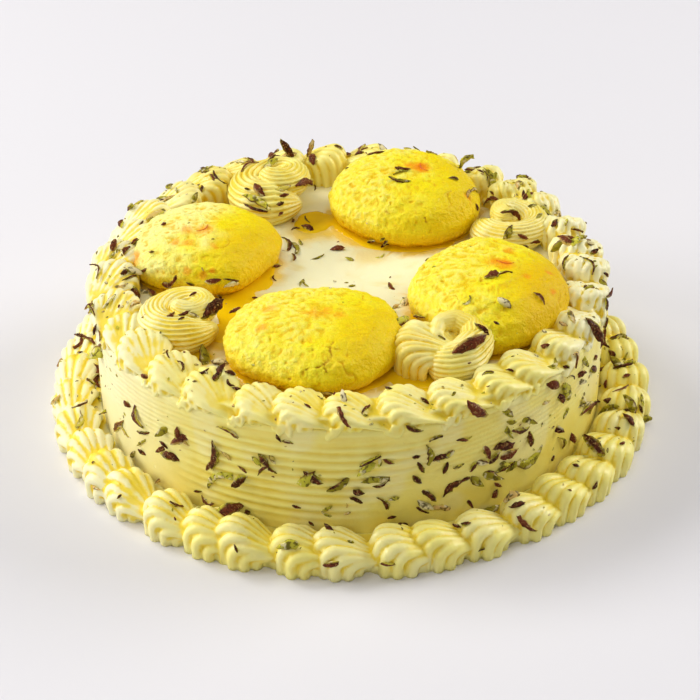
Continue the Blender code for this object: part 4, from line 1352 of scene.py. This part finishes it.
def cream_material():
    made, tree, shader = new_material("cream", CREAM, 0.42)
    cream = mottled(tree, CREAM, (14, 3, 0, 0.35, 0.7, 1, CREAM_DEEP))
    # pale is partly random tone and partly painted highlight and sheen; ridge is a painted highlight and
    # valley painted shade
    cream = marked(tree, cream, ridge=CREAM_RIDGE_HIGHLIGHT, pale=CREAM_PALE_AND_HIGHLIGHT, valley=CREAM_VALLEY_SHADE)
    cream = marked(tree, cream, drips=DRIP, glaze=SYRUP)
    tree.links.new(cream, shader.inputs["Base Color"])
    tree.links.new(mask(tree, read_attribute(tree, "glaze"), 0, 1, 0.2, 0.42), shader.inputs["Roughness"])
    scatter_under(shader, 0.15, 2, (1.0, 0.8, 0.35))
    bump(tree, shader, noise_node(tree, 1.1, 4), 0.12)
    return made


def patty_material():
    made, tree, shader = new_material("rasmalai", PATTY, 0.4, 0.15)
    curd = mottled(tree, PATTY, (7, 4, 0, 0.4, 0.65, 1, PATTY_LIGHT))
    # pale is a painted highlight, wet a deeper colour that is partly soaked curd and partly painted
    # shade, crack painted shade in pits, grooves and valleys
    curd = marked(tree, curd, pale=PATTY_HIGHLIGHT, wet=PATTY_DEEP_AND_SHADE, crack=PATTY_DEEP_AND_SHADE)
    # the cracks' darker colour is painted shade; the stains are saffron's own colour
    curd = marked(tree, curd, stain=STAIN, split=PATTY_SPLIT_SHADE)
    tree.links.new(curd, shader.inputs["Base Color"])
    scatter_under(shader, 0.2, 2.5, (1.0, 0.7, 0.1))
    crumb = bump(tree, shader, noise_node(tree, 0.9, 5), 0.45)
    bump(tree, shader, noise_node(tree, 2.2, 5, 0.6), 0.8, under=crumb)
    return made


def syrup_material():
    made, tree, shader = new_material("glaze", SYRUP, 0.18, 0.25)
    syrup = mottled(tree, SYRUP, (8, 3, 0, 0.4, 0.7, 1, PATTY_DEEP_AND_SHADE))
    tree.links.new(syrup, shader.inputs["Base Color"])
    bump(tree, shader, noise_node(tree, 4), 0.15)
    return made


def nut_material():
    """The nut's violet skin and its green flesh. Both are mottled, and the flesh has lighter rims."""
    made, tree, shader = new_material("nut", NUT_GREEN, 0.45, 0.1)
    tone = read_attribute(tree, "tone")
    skin = mottled(
        tree,
        mixed(tree, tone, NUT_SKIN, NUT_SKIN_RED),
        (1.3, 4, 0, 0.46, 0.66, 0.9, NUT_SKIN_RED),
        (1.6, 3, 0.8, 0.5, 0.62, 0.7, NUT_SKIN),
        (0.9, 2, 1.2, 0.56, 0.7, 0.5, NUT_TAN),
    )
    flesh = mixed(tree, mask(tree, tone, 0, 0.5), NUT_GREEN, NUT_GREEN_LIGHT)
    flesh = mixed(tree, mask(tree, tone, 0.6, 0.8), flesh, NUT_TAN)
    flesh = mottled(
        tree,
        marked(tree, flesh, pale=NUT_PALE, edge=NUT_GREEN_LIGHT),
        (1.7, 3, 0.4, 0.5, 0.62, 0.85, NUT_DARK),
        (2.3, 3, 0.5, 0.53, 0.66, 0.75, NUT_PALE),
    )
    tree.links.new(marked(tree, flesh, skin=skin), shader.inputs["Base Color"])
    bump(tree, shader, noise_node(tree, 0.8, 4), 0.25)
    return made


def saffron_material():
    made, tree, shader = new_material("saffron", SAFFRON, 0.35)
    colour = mixed(tree, noise_node(tree, 1.5), SAFFRON, SAFFRON_LIGHT)
    tree.links.new(colour, shader.inputs["Base Color"])
    return made


def floor_material():
    made, tree, shader = new_material("floor", FLOOR, 0.6)
    tree.links.new(mixed(tree, noise_node(tree, 400), FLOOR_LIGHT, FLOOR), shader.inputs["Base Color"])
    return made


# The stage


def stage_and_camera():
    floor = new_object("floor", circle(FLOOR_RADIUS, 0, FLOOR_CORNERS), [list(range(FLOOR_CORNERS))])
    floor.data.materials.append(floor_material())
    camera = bpy.data.objects.new("camera", bpy.data.cameras.new("camera"))
    camera.data.sensor_width = SENSOR
    camera.data.lens = SENSOR * FOCAL_PIXELS / FRAME_PIXELS
    camera.location = view_place()
    camera.rotation_mode = "QUATERNION"
    _, camera.rotation_quaternion = view_turn()
    bpy.context.scene.collection.objects.link(camera)
    bpy.context.scene.camera = camera


def lights():
    for name, (place, size, power, colour) in LIGHTS.items():
        data = bpy.data.lights.new(name, "AREA")
        data.shape = "DISK"
        data.size = size
        data.energy = power
        data.color = colour
        light = bpy.data.objects.new(name, data)
        light.location = place
        light.rotation_euler = (Vector(LIT_PLACE) - Vector(place)).to_track_quat("-Z", "Y").to_euler()
        bpy.context.scene.collection.objects.link(light)
    world = bpy.data.worlds.new("studio")
    world.use_nodes = True
    world.node_tree.nodes["Background"].inputs["Color"].default_value = (*DAYLIGHT, 1)
    world.node_tree.nodes["Background"].inputs["Strength"].default_value = DAYLIGHT_STRENGTH
    bpy.context.scene.world = world
    bpy.context.scene.view_settings.view_transform = "Standard"


# The whole


def dress(obj, slot, material, *nodes):
    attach(obj, "root")
    if nodes:
        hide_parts(*nodes)
    obj.data.shade_smooth()
    if slot == "nut":
        obj.data.set_sharp_from_angle(angle=math.radians(SHARPEST_SMOOTH))
    obj.data.materials.clear()
    obj.data.materials.append(material)


def mark_curd(obj, cracks, stains):
    """Splits a patty along the cracks that the photograph shows, and marks them and the stains. The
    cracks' darker colour is painted shade.
    """
    points = points_of(obj)
    split = crack_of(points, cracks)
    attribute(obj, "split", split)
    attribute(obj, "stain", stain_of(points, stains))
    lift_skin(obj, -CRACK_DEPTH * split)


def mark_cream(obj):
    """Marks where the cream is pale, a ridge, a valley, run over by syrup or soaked in it. Pale is partly
    random tone and partly painted highlight and sheen, ridges get a painted highlight and valleys painted
    shade.
    """
    points, depth = points_of(obj), valleys_of(obj)
    x, y, z = points.T
    body, rim = obj.name == "cake_cream", obj.name == "rim_piping"
    # random pale patches, and a painted highlight on the left side
    pale = np.maximum(0.25 * ramp(noise(points, 11, 3.7), 0, 0.4), 0.75 * ramp(-x, 50, 95))
    # a painted highlight on the rim's right side
    if rim:
        pale = np.maximum(pale, 0.75 * ramp(x, 68, 90))
    # a painted sheen on the flat top
    if body:
        pale = np.where((z > CAKE_TOP - 2) & (np.hypot(x, y) < FLAT_RADIUS), TOP_SHEEN, pale)
    kept = 1.0 if body else GLAZE_ON_RIDGES + (1 - GLAZE_ON_RIDGES) * ramp(depth, -0.08, 0.14)
    attribute(obj, "pale", pale)
    attribute(obj, "drips", 0 * depth if body else drips_of(points, depth))
    attribute(obj, "glaze", kept * glaze_of(points))
    # painted shade in the valleys and a painted highlight on the ridges
    attribute(obj, "valley", (WALL_VALLEY_SHADE_SHARE if body else VALLEY_SHADE_SHARE) * ramp(depth, 0.02, 0.22))
    attribute(obj, "ridge", RIDGE_HIGHLIGHT_SHARE * ramp(-depth, 0.02, 0.25))


def main():
    rng, own = random.Random(SEED), random.Random("ropes")
    cream, curd, nut = cream_material(), patty_material(), nut_material()
    body, foot, rim = cake_cream(), foot_piping(rng, own), rim_piping(rng, own)
    swirls = [rosette(name) for name in ROSETTES]
    patties = [patty(name) for name in PATTIES]
    surface = Surface([body, foot, rim] + swirls + patties)
    stains = [(np.array(surface.under_pixel((x, y))[0]), *rest) for x, y, *rest in STAINS]
    cracks = [[np.array(surface.under_pixel(pixel)[0]) for pixel in line] for line in CRACKS]
    dress(body, "cream", cream, "cake_body")
    dress(foot, "piped_cream", cream, "bottom_border")
    dress(rim, "piped_cream", cream, "top_border")
    for obj, name in zip(swirls, ROSETTES):
        dress(obj, "piped_cream", cream, name)
    for obj, name in zip(patties, PATTIES):
        dress(obj, "rasmalai", curd, name)
        mark_curd(obj, cracks, stains)
    for obj in [body, foot, rim] + swirls:
        mark_cream(obj)
    for made in (nut_slivers(surface), nut_crumbs(surface)):
        dress(made, "nut", nut)
    dress(syrup_pools(), "glaze", syrup_material())
    dress(saffron_strands(surface, stains), "saffron", saffron_material())
    stage_and_camera()
    lights()


main()
